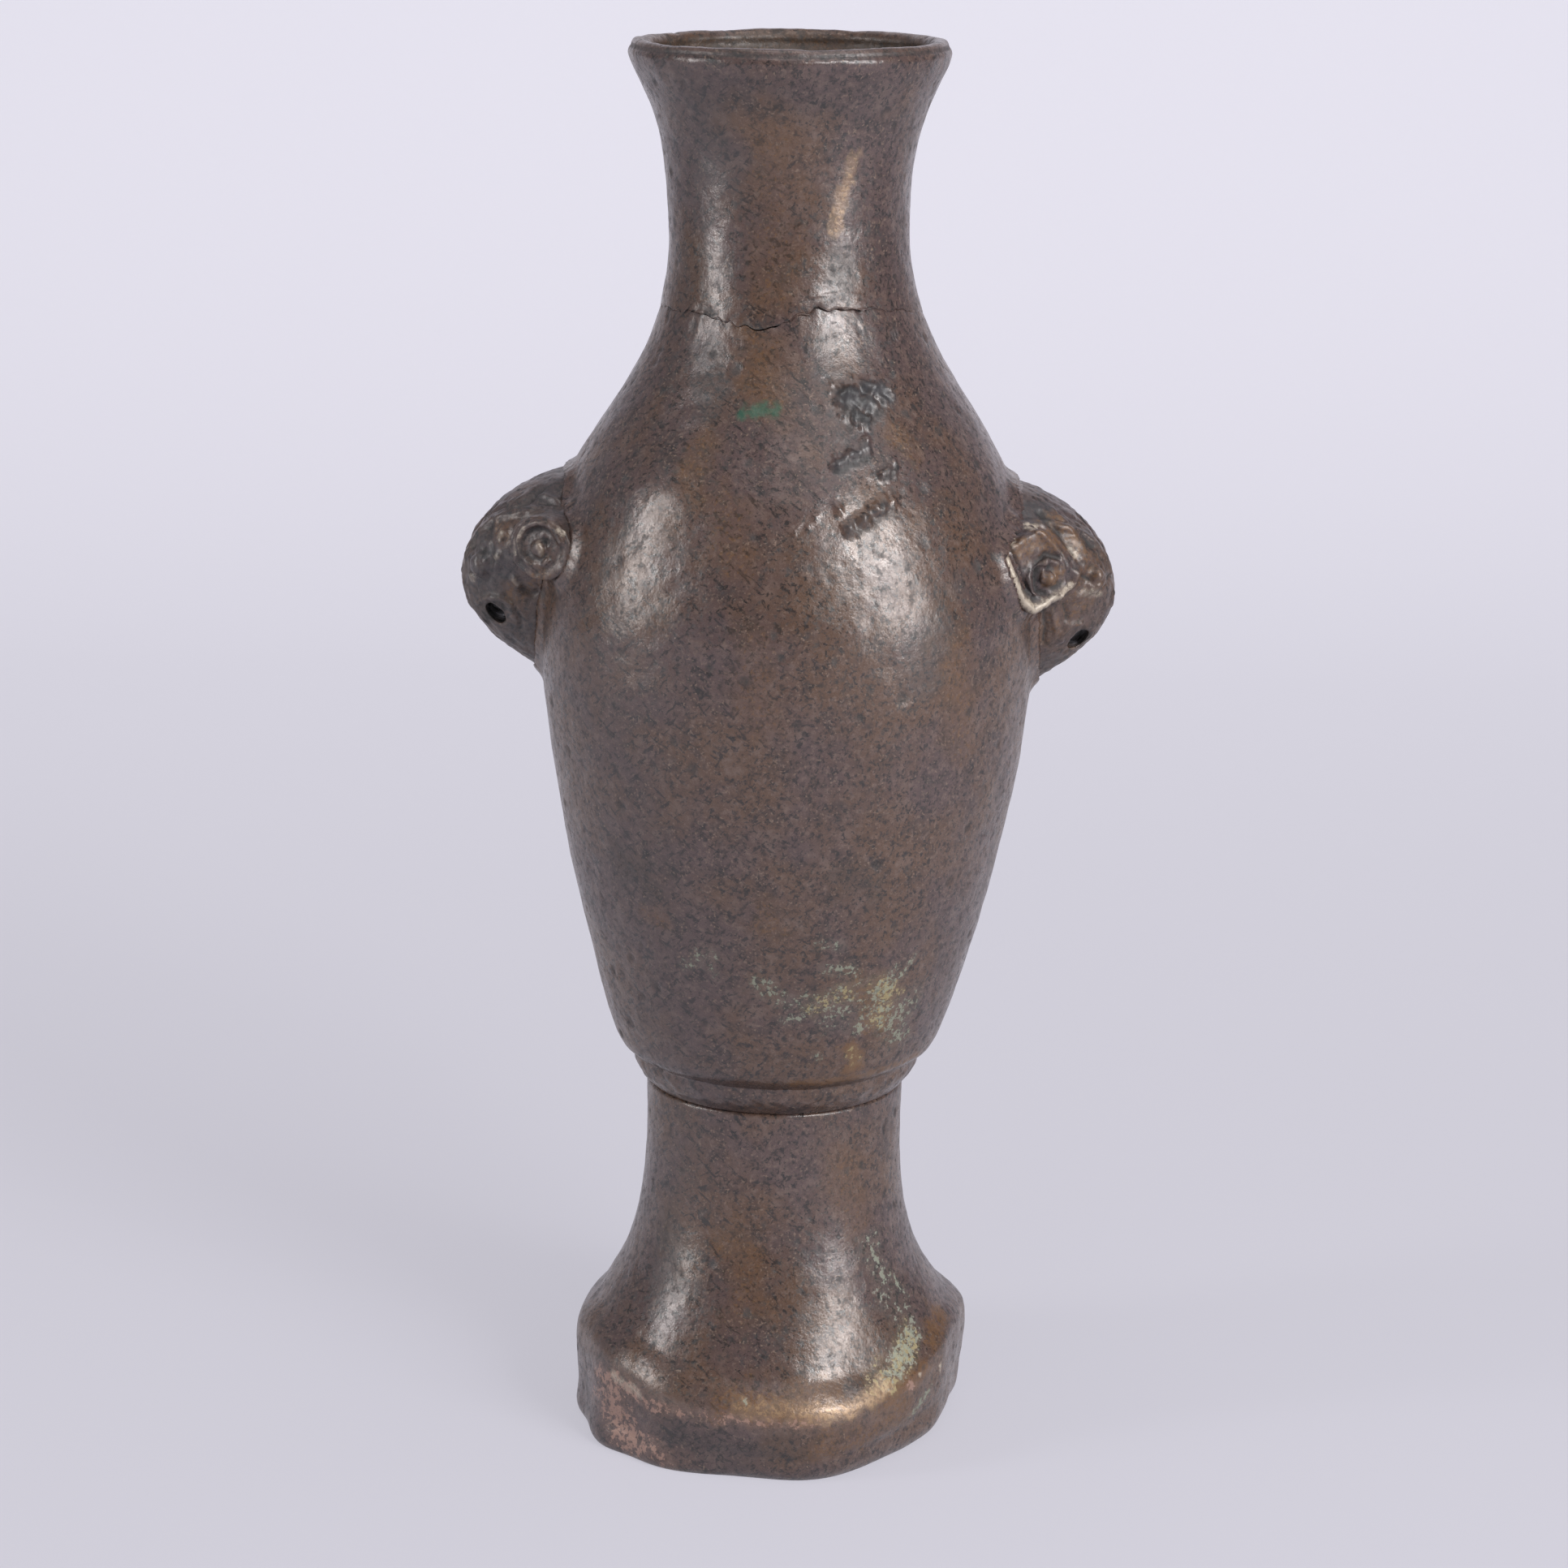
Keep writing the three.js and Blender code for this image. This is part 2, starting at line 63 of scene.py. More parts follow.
# Fineness of the turned skins
ROW_FINE = 0.13  # longest step down an outline at the lip
ROW_SHOWN = 0.34  # where it shows
ROW_HIDDEN = 1.3
FACETS = 48  # how many facets the castings have round the axis
ROW_TURN = math.radians(10)  # the most that an outline turns in one step
SAMPLE = 0.05  # spacing of the outline before its rows are picked
CORNER = math.radians(38)  # an outline that turns more than this has a corner there
EDGE_EASE = 0.10  # how far every corner is worn round

# Camera, as it stood for the photograph
CAMERA_AT = Vector((-0.0001, -0.4488, 0.1998))
CAMERA_TILT = math.radians(14.83)
CAMERA_ROLL = math.radians(0.95)
PHOTO_SIZE = 1932
FOCAL_PX = 4720
SENSOR = 36


def smoothstep(value, low, high):
    share = np.clip((value - low) / (high - low), 0, 1)
    return share * share * (3 - 2 * share)


def waves(points, longest, shortest, seed, count=40):
    """A smooth random field over points, mostly between -1 and 1, with swells of the given lengths."""
    rng = np.random.default_rng(seed)
    ways = rng.normal(size=(count, 3))
    ways /= np.linalg.norm(ways, axis=1)[:, None]
    lengths = np.exp(rng.uniform(np.log(shortest), np.log(longest), count))
    phases = rng.uniform(0, 2 * np.pi, count)
    total = np.zeros(len(points))
    for way, length, phase in zip(ways, lengths, phases):
        total += np.cos(points @ way * (2 * np.pi / length) + phase)
    return total / math.sqrt(2 * count)


# Outlines of the turned castings, read from the frame
def welded(node):
    """The node's mesh with its split corners joined, in millimetres."""
    shape = bmesh.new()
    shape.from_mesh(node.data)
    bmesh.ops.remove_doubles(shape, verts=shape.verts, dist=1e-6)
    bmesh.ops.scale(shape, vec=(1 / MM, 1 / MM, 1 / MM), verts=shape.verts)
    return shape


def outline_at(shape, degrees):
    """Closed outline of (radius, height) points at one angle from +X, from the top outward and down."""
    turn = math.radians(degrees)
    out = Vector((math.cos(turn), math.sin(turn), 0))
    across = Vector((-out.y, out.x, 0))
    on = {v for v in shape.verts if abs(v.co.dot(across)) < 0.02 and v.co.dot(out) > 0}
    here = max(on, key=lambda v: (round(v.co.z, 3), -v.co.dot(out)))
    walk = []
    while here:
        walk.append((here.co.dot(out), here.co.z))
        on.discard(here)
        ahead = [e.other_vert(here) for e in here.link_edges if e.other_vert(here) in on]
        here = max(ahead, key=lambda v: v.co.dot(out)) if ahead else None
    return np.array(walk)


def dense(outline):
    """The outline splined between its corners and sampled evenly: points and their fractional index."""
    ahead = np.roll(outline, -1, 0) - outline
    length = np.linalg.norm(ahead, axis=1)[:, None]
    way = ahead / length
    way_in = np.roll(way, 1, 0)
    length_in = np.roll(length, 1, 0)
    turn = np.arccos(np.clip((way * way_in).sum(1), -1, 1))
    soft = (turn < CORNER)[:, None]
    blend = (way * length_in + way_in * length) / (length + length_in)
    leave = np.where(soft, blend, way) * length
    arrive = np.where(soft, blend, way_in) * length_in
    points, index = [], []
    for i in range(len(outline)):
        after = (i + 1) % len(outline)
        steps = max(int(length[i, 0] / SAMPLE), 1)
        t = (np.arange(steps) / steps)[:, None]
        points.append(
            (2 * t**3 - 3 * t**2 + 1) * outline[i]
            + (t**3 - 2 * t**2 + t) * leave[i]
            + (3 * t**2 - 2 * t**3) * outline[after]
            + (t**3 - t**2) * arrive[after]
        )
        index.append(i + t[:, 0])
    return np.concatenate(points), np.concatenate(index)


def blurred(values, reach):
    """Closed run of values, blurred over a reach in samples."""
    taps = np.arange(-3 * reach, 3 * reach + 1)
    weights = np.exp(-0.5 * (taps / reach) ** 2)
    weights /= weights.sum()
    return sum(w * np.roll(values, t, 0) for w, t in zip(weights, taps))


def rows_of(outline, row_step):
    """Rows to skin: points with eased corners, close where they show or turn, and their index."""
    points, index = dense(outline)
    points = blurred(points, round(EDGE_EASE / SAMPLE))
    ahead = np.roll(points, -1, 0) - points
    length = np.linalg.norm(ahead, axis=1)
    heading = np.unwrap(np.arctan2(ahead[:, 1], ahead[:, 0]))
    turn = np.abs(np.diff(heading, append=heading[-1]))
    facing_out = -ahead[:, 1] > 0
    need = np.cumsum(length / row_step(points[:, 1], facing_out) + turn / ROW_TURN)
    picks = np.unique(np.searchsorted(need, np.arange(0, need[-1], 1.0)))
    return points[picks], index[picks]


def turned_grid(node_name, columns, row_step, uneven=False):
    """Rows by columns of points that follow a turned node. An uneven node is read all round."""
    shape = welded(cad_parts[node_name])
    outline = outline_at(shape, 90)
    rows, index = rows_of(outline, row_step)
    grid = np.repeat(rows[:, None], columns, 1)
    if uneven:
        around = np.stack([outline_at(shape, 360 * k / FACETS) for k in range(FACETS)], 1)
        spectrum = np.fft.rfft(around - outline[:, None], axis=1)
        extra = np.fft.irfft(spectrum, columns, axis=1) * columns / FACETS
        low = index.astype(int)
        share = (index - low)[:, None, None]
        grid = grid + extra[low] * (1 - share) + extra[(low + 1) % len(extra)] * share
    shape.free()
    angle = np.arange(columns) * 2 * np.pi / columns
    radius, height = grid[..., 0], grid[..., 1]
    return np.stack([radius * np.cos(angle), radius * np.sin(angle), height], -1)


def grid_normals(grid):
    down = np.roll(grid, -1, 0) - np.roll(grid, 1, 0)
    across = np.roll(grid, -1, 1) - np.roll(grid, 1, 1)
    normal = np.cross(down, across)
    return normal / np.maximum(np.linalg.norm(normal, axis=2, keepdims=True), 1e-9)


# The old vase isn't quite straight: how far its axis strays to the right, as (height, stray)
SWAY = [
    (0, -0.1), (4, -0.1), (11, -0.35), (15, -0.5), (20, -0.6), (26, -0.7), (42, -0.75), (48, -0.5),
    (56, -0.4), (64, -0.1), (122, 0), (130, 0.42), (136, 0.05), (142, -0.38), (150, -0.65), (170, -0.83),
]


def swayed(points):
    """Points of a turned skin, moved with the vase's bent axis."""
    levels = np.arange(0, 180, 0.5)
    strays = blurred(np.interp(levels, *np.array(SWAY).T), 5)
    moved = points.copy()
    moved[:, 0] += np.interp(points[:, 2], levels, strays)
    return moved


# How much fuller its outside is than the castings' round outlines, as (height, how much)
FULLER = [
    (0, 0.12), (1, 0.1), (3, 0.03), (6, 0), (10, 0), (13, -0.1), (15.5, -0.4), (18, -0.15), (21, -0.05),
    (24, 0.12), (30, 0.15), (36, 0), (44, 0), (46, -0.12), (50, -0.28), (54, -0.17), (58, -0.02), (67, 0.03),
    (72, 0.1), (96, 0.15), (102, -0.2), (110, -0.2), (120, 0.15), (127, 0.12), (130, 0.06),
    (138, 0), (170, 0),
]
SEAM_FILL = 0.85  # how much of the chamfers beside a seam is filled with solder
CHAMFER = 0.75  # how far they reach, and two places past them that give the outline
PAST_NEAR = 0.8
PAST_FAR = 1.4


def outward(points, normals):
    """How far each point of a turned skin faces out from the axis."""
    return (normals * points)[:, :2].sum(1) / np.maximum(np.hypot(points[:, 0], points[:, 1]), 1e-6)


def fuller(points, normals):
    facing_out = smoothstep(outward(points, normals), 0, 0.5)
    return np.interp(points[:, 2], *np.array(FULLER).T) * facing_out


def flush(points, normals, seam_z):
    """Points moved out over the chamfer beside a seam, so that two castings run on into each other."""
    radius = np.hypot(points[:, 0], points[:, 1])
    away = np.abs(points[:, 2] - seam_z)
    outer = outward(points, normals) > 0.3
    near, far = (np.median(radius[outer & (np.abs(away - past) < 0.2)]) for past in (PAST_NEAR, PAST_FAR))
    lacking = near + (near - far) * (PAST_NEAR - away) / (PAST_FAR - PAST_NEAR) - radius
    beside = (away < CHAMFER) & (lacking > 0) & (lacking < 0.5)
    moved = points.copy()
    moved[:, :2] *= np.where(beside, 1 + SEAM_FILL * lacking / radius, 1)[:, None]
    return moved


def mesh_object(name, points, faces):
    """A smooth object from points in millimetres, kept inside the castings' own box."""
    low, high = (np.array(corner) for corner in CAD_BOX)
    mesh = bpy.data.meshes.new(name)
    mesh.from_pydata(np.clip(points * MM, low, high), [], faces)
    mesh.shade_smooth()
    made = bpy.data.objects.new(name, mesh)
    bpy.context.scene.collection.objects.link(made)
    return made


def grid_faces(rows, columns):
    index = np.arange(rows * columns).reshape(rows, columns)
    below = np.roll(index, -1, 0)
    corners = [index, below, np.roll(below, -1, 1), np.roll(index, -1, 1)]
    return np.stack(corners, -1).reshape(-1, 4)


# Marks of wear and crusts, and of painted highlights and painted shade, kept as point attributes that say
# how dense each kind is
KINDS = ("gold_wear_and_sheen", "copper_and_glint", "painted_glint", "green", "jade", "straw", "ochre", "dark", "slate_and_shade", "wear_and_sheen")
MARK_SEED = 900  # the first stroke's own seed, for marks and for dents
DENT_SEED = 970


def from_front(points):
    """Azimuth in radians, radius and height of each point."""
    azimuth = np.arctan2(points[:, 0], -points[:, 1])
    return azimuth, np.hypot(points[:, 0], points[:, 1]), points[:, 2]


def to_stroke(across, up, marks):
    """Distance of each flat point from a run of marks."""
    best = np.full(len(across), 1e9)
    for (ax, az), (bx, bz) in zip(marks, marks[1:] or marks):
        run_x, run_z = bx - ax, bz - az
        along = (across - ax) * run_x + (up - az) * run_z
        share = np.clip(along / np.maximum(run_x**2 + run_z**2, 1e-9), 0, 1)
        best = np.minimum(best, np.hypot(across - ax - share * run_x, up - az - share * run_z))
    return best


def round_stroke(points, marks):
    """Distance on a turned skin from a run of marks, each an azimuth in degrees and a height."""
    azimuth, radius, height = from_front(points)
    reach = np.percentile(radius[np.abs(height - marks[0][1]) < 3], 90)
    flat = [(math.radians(a) * reach, z) for a, z in marks]
    return to_stroke(azimuth * reach, height, flat)


def cloud(points, distance, width, seed, raggedness=0.45):
    """Density round a stroke, full in its middle and gone a little outside its half width."""
    ragged = waves(points, 3 * width, 0.7 * width, seed, 24)
    distance = distance + raggedness * width * ragged
    return 1 - smoothstep(distance, 0.1 * width, 1.35 * width)


def lay_on(covers, kind, density):
    """A kind of mark made denser, where it isn't as dense already."""
    covers[kind] = np.maximum(covers[kind], density)


def mark_attributes(points, strokes, stroke_distance=round_stroke):
    """Density of each kind of mark, 0 to 1. A stroke is (kind, strength, half width, marks)."""
    covers = {kind: np.zeros(len(points)) for kind in KINDS}
    for number, (kind, strength, width, marks) in enumerate(strokes):
        density = cloud(points, stroke_distance(points, marks), width, MARK_SEED + number)
        lay_on(covers, kind, strength * density)
    return covers


def write_attributes(made, covers):
    for kind, values in covers.items():
        if values.any():
            layer = made.data.attributes.new(kind, "FLOAT", "POINT")
            layer.data.foreach_set("value", np.clip(values, 0, 1).astype(np.float32))


def pitted(points, normals, count, smallest, largest, seed, where=None):
    """Depth of scattered casting pits at each point."""
    rng = np.random.default_rng(seed)
    tree = KDTree(len(points))
    for number, point in enumerate(points):
        tree.insert(point, number)
    tree.balance()
    allowed = np.arange(len(points)) if where is None else np.flatnonzero(where)
    depth = np.zeros(len(points))
    for centre in rng.choice(allowed, count, replace=False):
        radius = smallest * (largest / smallest) ** (rng.random() ** 2.5)
        for _, near, distance in tree.find_range(points[centre], radius):
            bowl = (1 - (distance / radius) ** 2) * radius * 0.3
            depth[near] = max(depth[near], bowl)
    return depth


# Neck
NECK_COLUMNS = 440
LIP_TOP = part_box("neck")[1][2] / MM
SEAM_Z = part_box("body")[1][2] / MM
# How far the ragged seam of neck and body strays, as (azimuth, rise)
SEAM_RISE = [
    (-180, 0.3), (-150, -0.5), (-120, 0.6), (-90, 0.1), (-64, 0.5), (-44, 0.6), (-34, 0.3), (-26, -0.1),
    (-21, -0.3), (-15, -0.8), (-9, -0.6), (-3, 0.4), (2, 1.2), (8, 1.4), (14, 1.8), (21, 2.0), (30, 1.6),
    (38, 1.5), (48, 1.2), (75, 0.2), (110, -0.6), (145, 0.6), (180, 0.3),
]
# Where the solder has cracked, as (azimuth, how far)
SEAM_CRACK = [
    (-48, -0.6), (-26, -0.6), (-22, 0.1), (-12, 0.4), (-6, 0), (-1, 0.3), (33, 0.5), (38, 0), (50, -0.6),
]


def seam_shift(points):
    """Rise of the points near the seam of neck and body, alike on both."""
    azimuth, _, height = from_front(points)
    angles, rises = np.array(SEAM_RISE).T
    rise = sum(np.interp(np.degrees(azimuth) + turn, angles, rises) for turn in (-1.5, -0.5, 0.5, 1.5)) / 4
    away = np.abs(height - SEAM_Z)
    level = points * (1, 1, 0)
    ragged = 0.28 * waves(level, 3.0, 0.9, 16, 30) * (1 - smoothstep(away, 0.2, 1.4))
    return rise * (1 - smoothstep(away, 0.4, 4.5)) + ragged


def seam_closing(points):
    """How far each side comes to meet the other at the seam, less where it has cracked."""
    azimuth, _, height = from_front(points)
    crack = np.interp(np.degrees(azimuth), *np.array(SEAM_CRACK).T)
    return (0.14 - 0.045 * crack) * (1 - smoothstep(np.abs(height - SEAM_Z), 0.35, 1.4))


SEAM_REACH = 8  # how far from the seam the two castings' outline is read
SPIGOT_CLEAR = 13.5  # radius that keeps the spigot out of that outline


def seam_outline():
    """Outer radius by height near the seam of neck and body, as a cubic."""
    found = []
    for node_name in ("neck", "body"):
        shape = welded(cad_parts[node_name])
        outline = outline_at(shape, 90)
        shape.free()
        down = np.roll(outline, -1, 0)[:, 1] < outline[:, 1]
        away = np.abs(outline[:, 1] - SEAM_Z)
        found.append(outline[down & (outline[:, 0] > SPIGOT_CLEAR) & (away > 1) & (away < SEAM_REACH)])
    radii, heights = np.concatenate(found).T
    return np.polyfit(heights - SEAM_Z, radii, 3)


def slid(points, normals, shift):
    """Points moved up by a shift, along the common outline of neck and body."""
    outline = seam_outline()
    level = np.clip(points[:, 2] - SEAM_Z, -SEAM_REACH, SEAM_REACH)
    growth = np.polyval(outline, level + shift) / np.polyval(outline, level)
    outer = smoothstep(outward(points, normals), 0, 0.3)
    moved = points.copy()
    moved[:, :2] *= (1 + outer * (growth - 1))[:, None]
    moved[:, 2] += shift
    return moved


def dents(points, strokes, raggedness=0.3):
    """Height of small dents and lumps. A stroke is (height, half width, marks)."""
    total = np.zeros(len(points))
    for number, (height, width, marks) in enumerate(strokes):
        dent = cloud(points, round_stroke(points, marks), width, DENT_SEED + number, raggedness)
        total += height * dent
    return total


LIP_DROOP = 0.45  # how much lower the bead of the lip hangs on its outer side
LIP_DIP = 0.3  # how much lower the lip stands on the left
NECK_DENTS = [
    (-0.22, 0.7, [(-20, 139.2), (-8, 138.9)]),
    (-0.12, 0.5, [(-45, 139.6), (-34, 139.6)]),
    (0.04, 0.5, [(2, 141.4), (12, 141.4), (24, 142), (34, 141.2)]),
]
NECK_MARKS = [
    # A gold run painted as sheen along the neck's right highlight.
    ("gold_wear_and_sheen", 0.5, 1.1, [(30, 157.5), (26, 153.8), (22, 149.7)]),
    ("ochre", 0.3, 4.5, [(-7, 160), (-5, 150), (-6, 143)]),
    ("slate_and_shade", 0.24, 5, [(-40, 165), (-30, 154)]),
    ("slate_and_shade", 0.16, 4.5, [(-20, 166), (30, 164), (70, 160)]),
    ("dark", 0.9, 0.7, [(-20, 139), (-8, 138.7)]),
    ("dark", 0.5, 0.4, [(-45, 139.6), (-34, 139.4)]),
    ("dark", 0.45, 1.5, [(24, 146), (27, 143.4)]),
    ("slate_and_shade", 0.35, 2.2, [(24, 145), (18, 141.6)]),
]


def neck_skin():
    def row_step(height, facing_out):
        shown = (facing_out & (height > SEAM_Z - 0.5)) | (height > SEAM_Z + 18)
        lip = height > LIP_TOP - 2.4
        return np.select([lip, shown], [ROW_FINE, ROW_SHOWN], ROW_HIDDEN)

    grid = turned_grid("neck", NECK_COLUMNS, row_step)
    rows, columns = grid.shape[:2]
    normals = grid_normals(grid).reshape(-1, 3)
    points = grid.reshape(-1, 3)
    azimuth, radius, height = from_front(points)
    outside = smoothstep(height, SEAM_Z, SEAM_Z + 1)
    swell = 0.11 * waves(points, 22, 8, 11) + 0.03 * waves(points, 5, 2.2, 12)
    grain = 0.010 * waves(points, 1.6, 0.8, 13)
    lip = smoothstep(height, LIP_TOP - 5, LIP_TOP - 1)
    knocks = 0.06 * lip * waves(points, 7, 3, 14)
    outer_side = smoothstep(radius, radius.max() - 1.2, radius.max() - 0.6)
    scored = 0.12 * outer_side * np.exp(-(((height - (LIP_TOP - 0.4)) / 0.15) ** 2))
    pits = pitted(points, normals, 420, 0.25, 0.8, 15, height > SEAM_Z + 0.5)
    relief_height = swell + grain + knocks - scored - pits * 0.45 + dents(points, NECK_DENTS)
    relief_height = relief_height * outside + fuller(points, normals)
    moved = flush(points, normals, SEAM_Z) + normals * relief_height[:, None]
    moved = slid(moved, normals, seam_shift(points) - seam_closing(points))
    below = LIP_TOP - height
    facing_out = smoothstep(outward(points, normals), 0, 0.5)
    moved[:, 2] -= LIP_DROOP * facing_out * smoothstep(below, 0, 0.7) * (1 - smoothstep(below, 3, 9))
    moved[:, 2] -= LIP_DIP * (1 - smoothstep(below, 2, 12)) * (1 - np.sin(azimuth)) / 2
    made = mesh_object("neck_skin", swayed(moved), grid_faces(rows, columns))
    covers = mark_attributes(points, NECK_MARKS)
    lay_on(covers, "dark", 0.7 * smoothstep(pits, 0.03, 0.15))
    # Painted shade: the scored line under the lip is darkened.
    lay_on(covers, "dark", 0.6 * smoothstep(scored, 0.03, 0.08))
    # The lip's top edge is worn and made lighter, partly as a painted highlight.
    lay_on(covers, "wear_and_sheen", 0.3 * smoothstep(height, LIP_TOP - 0.45, LIP_TOP - 0.15))
    # Painted shade: the inside of the mouth below the lip is darkened and tinted brown.
    inside = smoothstep(-outward(points, normals), 0.2, 0.6) * smoothstep(below, 0.2, 1.2)
    lay_on(covers, "dark", 0.7 * inside)
    lay_on(covers, "ochre", 0.5 * inside)
    write_attributes(made, covers)
    return made


# Body
BODY_COLUMNS = 640
# Lumps of old solder on the shoulder, as (height, half width, marks)
SCARS = [
    (0.70, 0.9, [(17, 131.6), (25, 132.2), (36, 131.4)]),
    (0.60, 1.1, [(17, 130.6), (26, 130.4)]),
    (0.55, 0.8, [(20, 129.2), (23, 128.6)]),
    (0.65, 0.75, [(12.5, 124.2), (17, 125), (22, 126)]),
    (0.55, 0.6, [(25.5, 122.9), (30, 123.8)]),
    (0.55, 0.75, [(14.5, 117.4), (17.5, 118), (21.5, 119.3), (26.7, 120.1)]),
    (0.24, 0.45, [(12, 120), (12.6, 119.4)]),
    (0.22, 0.3, [(0.6, 117.2), (3.2, 118.3)]),
    (0.20, 0.3, [(4.6, 117.8), (7, 118.9)]),
    (-0.16, 0.5, [(42, 129), (43, 128.8)]),
    (-0.14, 0.35, [(46, 136.2), (51, 136.8)]),
]
BODY_MARKS = [
    ("slate_and_shade", 1, 1.3, [(17, 131.4), (25, 131.6), (35, 131.2)]),
    ("slate_and_shade", 1, 1.3, [(17, 130.6), (26, 130.2)]),
    ("slate_and_shade", 1, 0.9, [(20, 129.2), (23, 128.6)]),
    ("slate_and_shade", 0.8, 0.9, [(12.5, 124.2), (17, 124.9), (22, 125.7)]),
    # The dark runs here lie just under and between the solder lumps, as painted shadow.
    ("dark", 1, 0.6, [(12.5, 123.5), (17, 124), (22, 124.7)]),
    ("dark", 0.8, 0.5, [(26, 122.4), (29.5, 123)]),
    ("slate_and_shade", 0.4, 0.6, [(25.9, 123), (29.5, 123.6)]),
    ("slate_and_shade", 0.6, 0.8, [(14.5, 117.4), (17.9, 118.2), (24, 119.6)]),
    ("dark", 0.8, 0.7, [(17, 129.8), (24, 128.2), (31, 129.9)]),
    ("dark", 0.6, 0.8, [(18, 131.5), (24, 130.4)]),
    ("dark", 0.7, 0.5, [(14.5, 116.9), (18.5, 117.3), (26.5, 119.3)]),
    ("dark", 0.8, 0.6, [(39.2, 129), (40, 128.8)]),
    ("dark", 0.7, 0.4, [(44, 136.2), (49, 136.8)]),
    ("jade", 1, 0.85, [(-16.5, 129.3), (-10.5, 129.8), (-6, 129.8)]),
    ("ochre", 0.36, 3.6, [(-12, 136.5), (-11, 131)]),
    ("ochre", 0.38, 2.5, [(-28, 125.6), (-27, 123)]),
    ("ochre", 0.42, 2.2, [(33, 126.6), (36, 125.6)]),
    ("ochre", 0.36, 3.2, [(-16, 120), (-14, 115)]),
    ("ochre", 0.4, 3.4, [(40, 102), (44, 92)]),
    ("ochre", 0.3, 3.5, [(-8, 106), (-4, 96)]),
    ("slate_and_shade", 0.4, 3.5, [(36, 108), (32, 100)]),
    ("slate_and_shade", 0.3, 3, [(12, 134), (20, 128)]),
    # Painted shade: a dark patch that dims the left shoulder's highlight.
    ("slate_and_shade", 0.45, 2.6, [(-35, 135), (-28, 130)]),
    ("dark", 0.5, 3, [(-46, 75.8), (-38, 75)]),
    ("dark", 0.4, 1.5, [(-30, 76.6), (-28.5, 76.4)]),
    ("dark", 0.35, 2.6, [(16, 77), (24, 75)]),
    ("green", 0.6, 0.6, [(-20, 64.4), (-19, 63.8)]),
    ("green", 0.42, 1.2, [(-27, 64.5), (-20, 66)]),
    ("green", 0.4, 1.6, [(-6, 63), (2, 60.6), (9, 60.8)]),
    ("green", 0.58, 0.7, [(1.5, 58.2), (6.5, 58.6)]),
    ("green", 0.5, 1.1, [(12, 65), (21, 64.4)]),
    ("green", 0.4, 1, [(10, 68.4), (16, 67.8)]),
    ("green", 0.62, 0.6, [(37.5, 62.8), (41, 65)]),
    ("green", 0.55, 1.7, [(33.5, 62.4), (30, 60.6)]),
    ("green", 0.62, 1, [(26, 57.6), (26, 56.2)]),
    ("green", 0.5, 2.2, [(34, 58), (43, 54)]),
    ("green", 0.42, 4.5, [(22, 60), (40, 58)]),
    ("green", 0.5, 0.7, [(12.5, 53.4), (13.5, 53)]),
    ("straw", 0.6, 1.8, [(29, 62), (35, 60.4), (33, 58)]),
    ("straw", 0.42, 1.6, [(10, 60), (20, 62)]),
    ("ochre", 0.6, 3.4, [(27, 62), (34, 56)]),
    ("ochre", 1, 1.6, [(25, 53.6), (27, 51.2)]),
    ("straw", 0.36, 1.2, [(25, 53.4), (27, 51.4)]),
    ("ochre", 0.85, 0.7, [(6, 49.2), (22, 49.3), (40, 49.5), (62, 49.8)]),
    ("ochre", 0.4, 2.2, [(-4, 73), (-2, 70)]),
    ("ochre", 0.35, 1.8, [(-38, 70.4), (-34, 70)]),
]


def body_skin(masks):
    ring_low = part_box("foot")[1][2] / MM

    def row_step(height, facing_out):
        return np.where(facing_out & (height > ring_low - 0.5), ROW_SHOWN, ROW_HIDDEN)

    grid = turned_grid("body", BODY_COLUMNS, row_step)
    rows, columns = grid.shape[:2]
    normals = grid_normals(grid).reshape(-1, 3)
    points = grid.reshape(-1, 3)
    height = points[:, 2]
    outside = smoothstep(height, ring_low, ring_low + 2)
    swell = 0.13 * waves(points, 30, 10, 21) + 0.035 * waves(points, 6, 2.6, 22)
    grain = 0.010 * waves(points, 1.8, 1.0, 23)
    pits = pitted(points, normals, 1500, 0.25, 1.0, 24, height > ring_low + 4)
    lumps = dents(points, SCARS, 0.6)
    crumbled = np.abs(lumps) * (0.45 * waves(points, 3.0, 1.3, 25) + 0.12 * waves(points, 1.2, 0.6, 27))
    worn_ring = 0.1 * waves(points, 4, 1.2, 26) * (1 - smoothstep(height, ring_low + 3.2, ring_low + 4.6))
    relief_height = (swell + grain + worn_ring - pits * 0.5 + lumps + crumbled) * outside
    relief_height += fuller(points, normals)
    moved = flush(points, normals, SEAM_Z) + normals * relief_height[:, None]
    moved = filleted(moved, normals, masks)
    moved = slid(moved, normals, seam_shift(points) + seam_closing(points))
    made = mesh_object("body_skin", swayed(moved), grid_faces(rows, columns))
    covers = mark_attributes(points, BODY_MARKS)
    lay_on(covers, "dark", 0.75 * smoothstep(pits, 0.04, 0.2))
    write_attributes(made, covers)
    return made


FILLET_REACH = 2.2
FILLET_RISE = 1.15
FILLET_SINK = 0.1  # how far the fillet runs into the mask


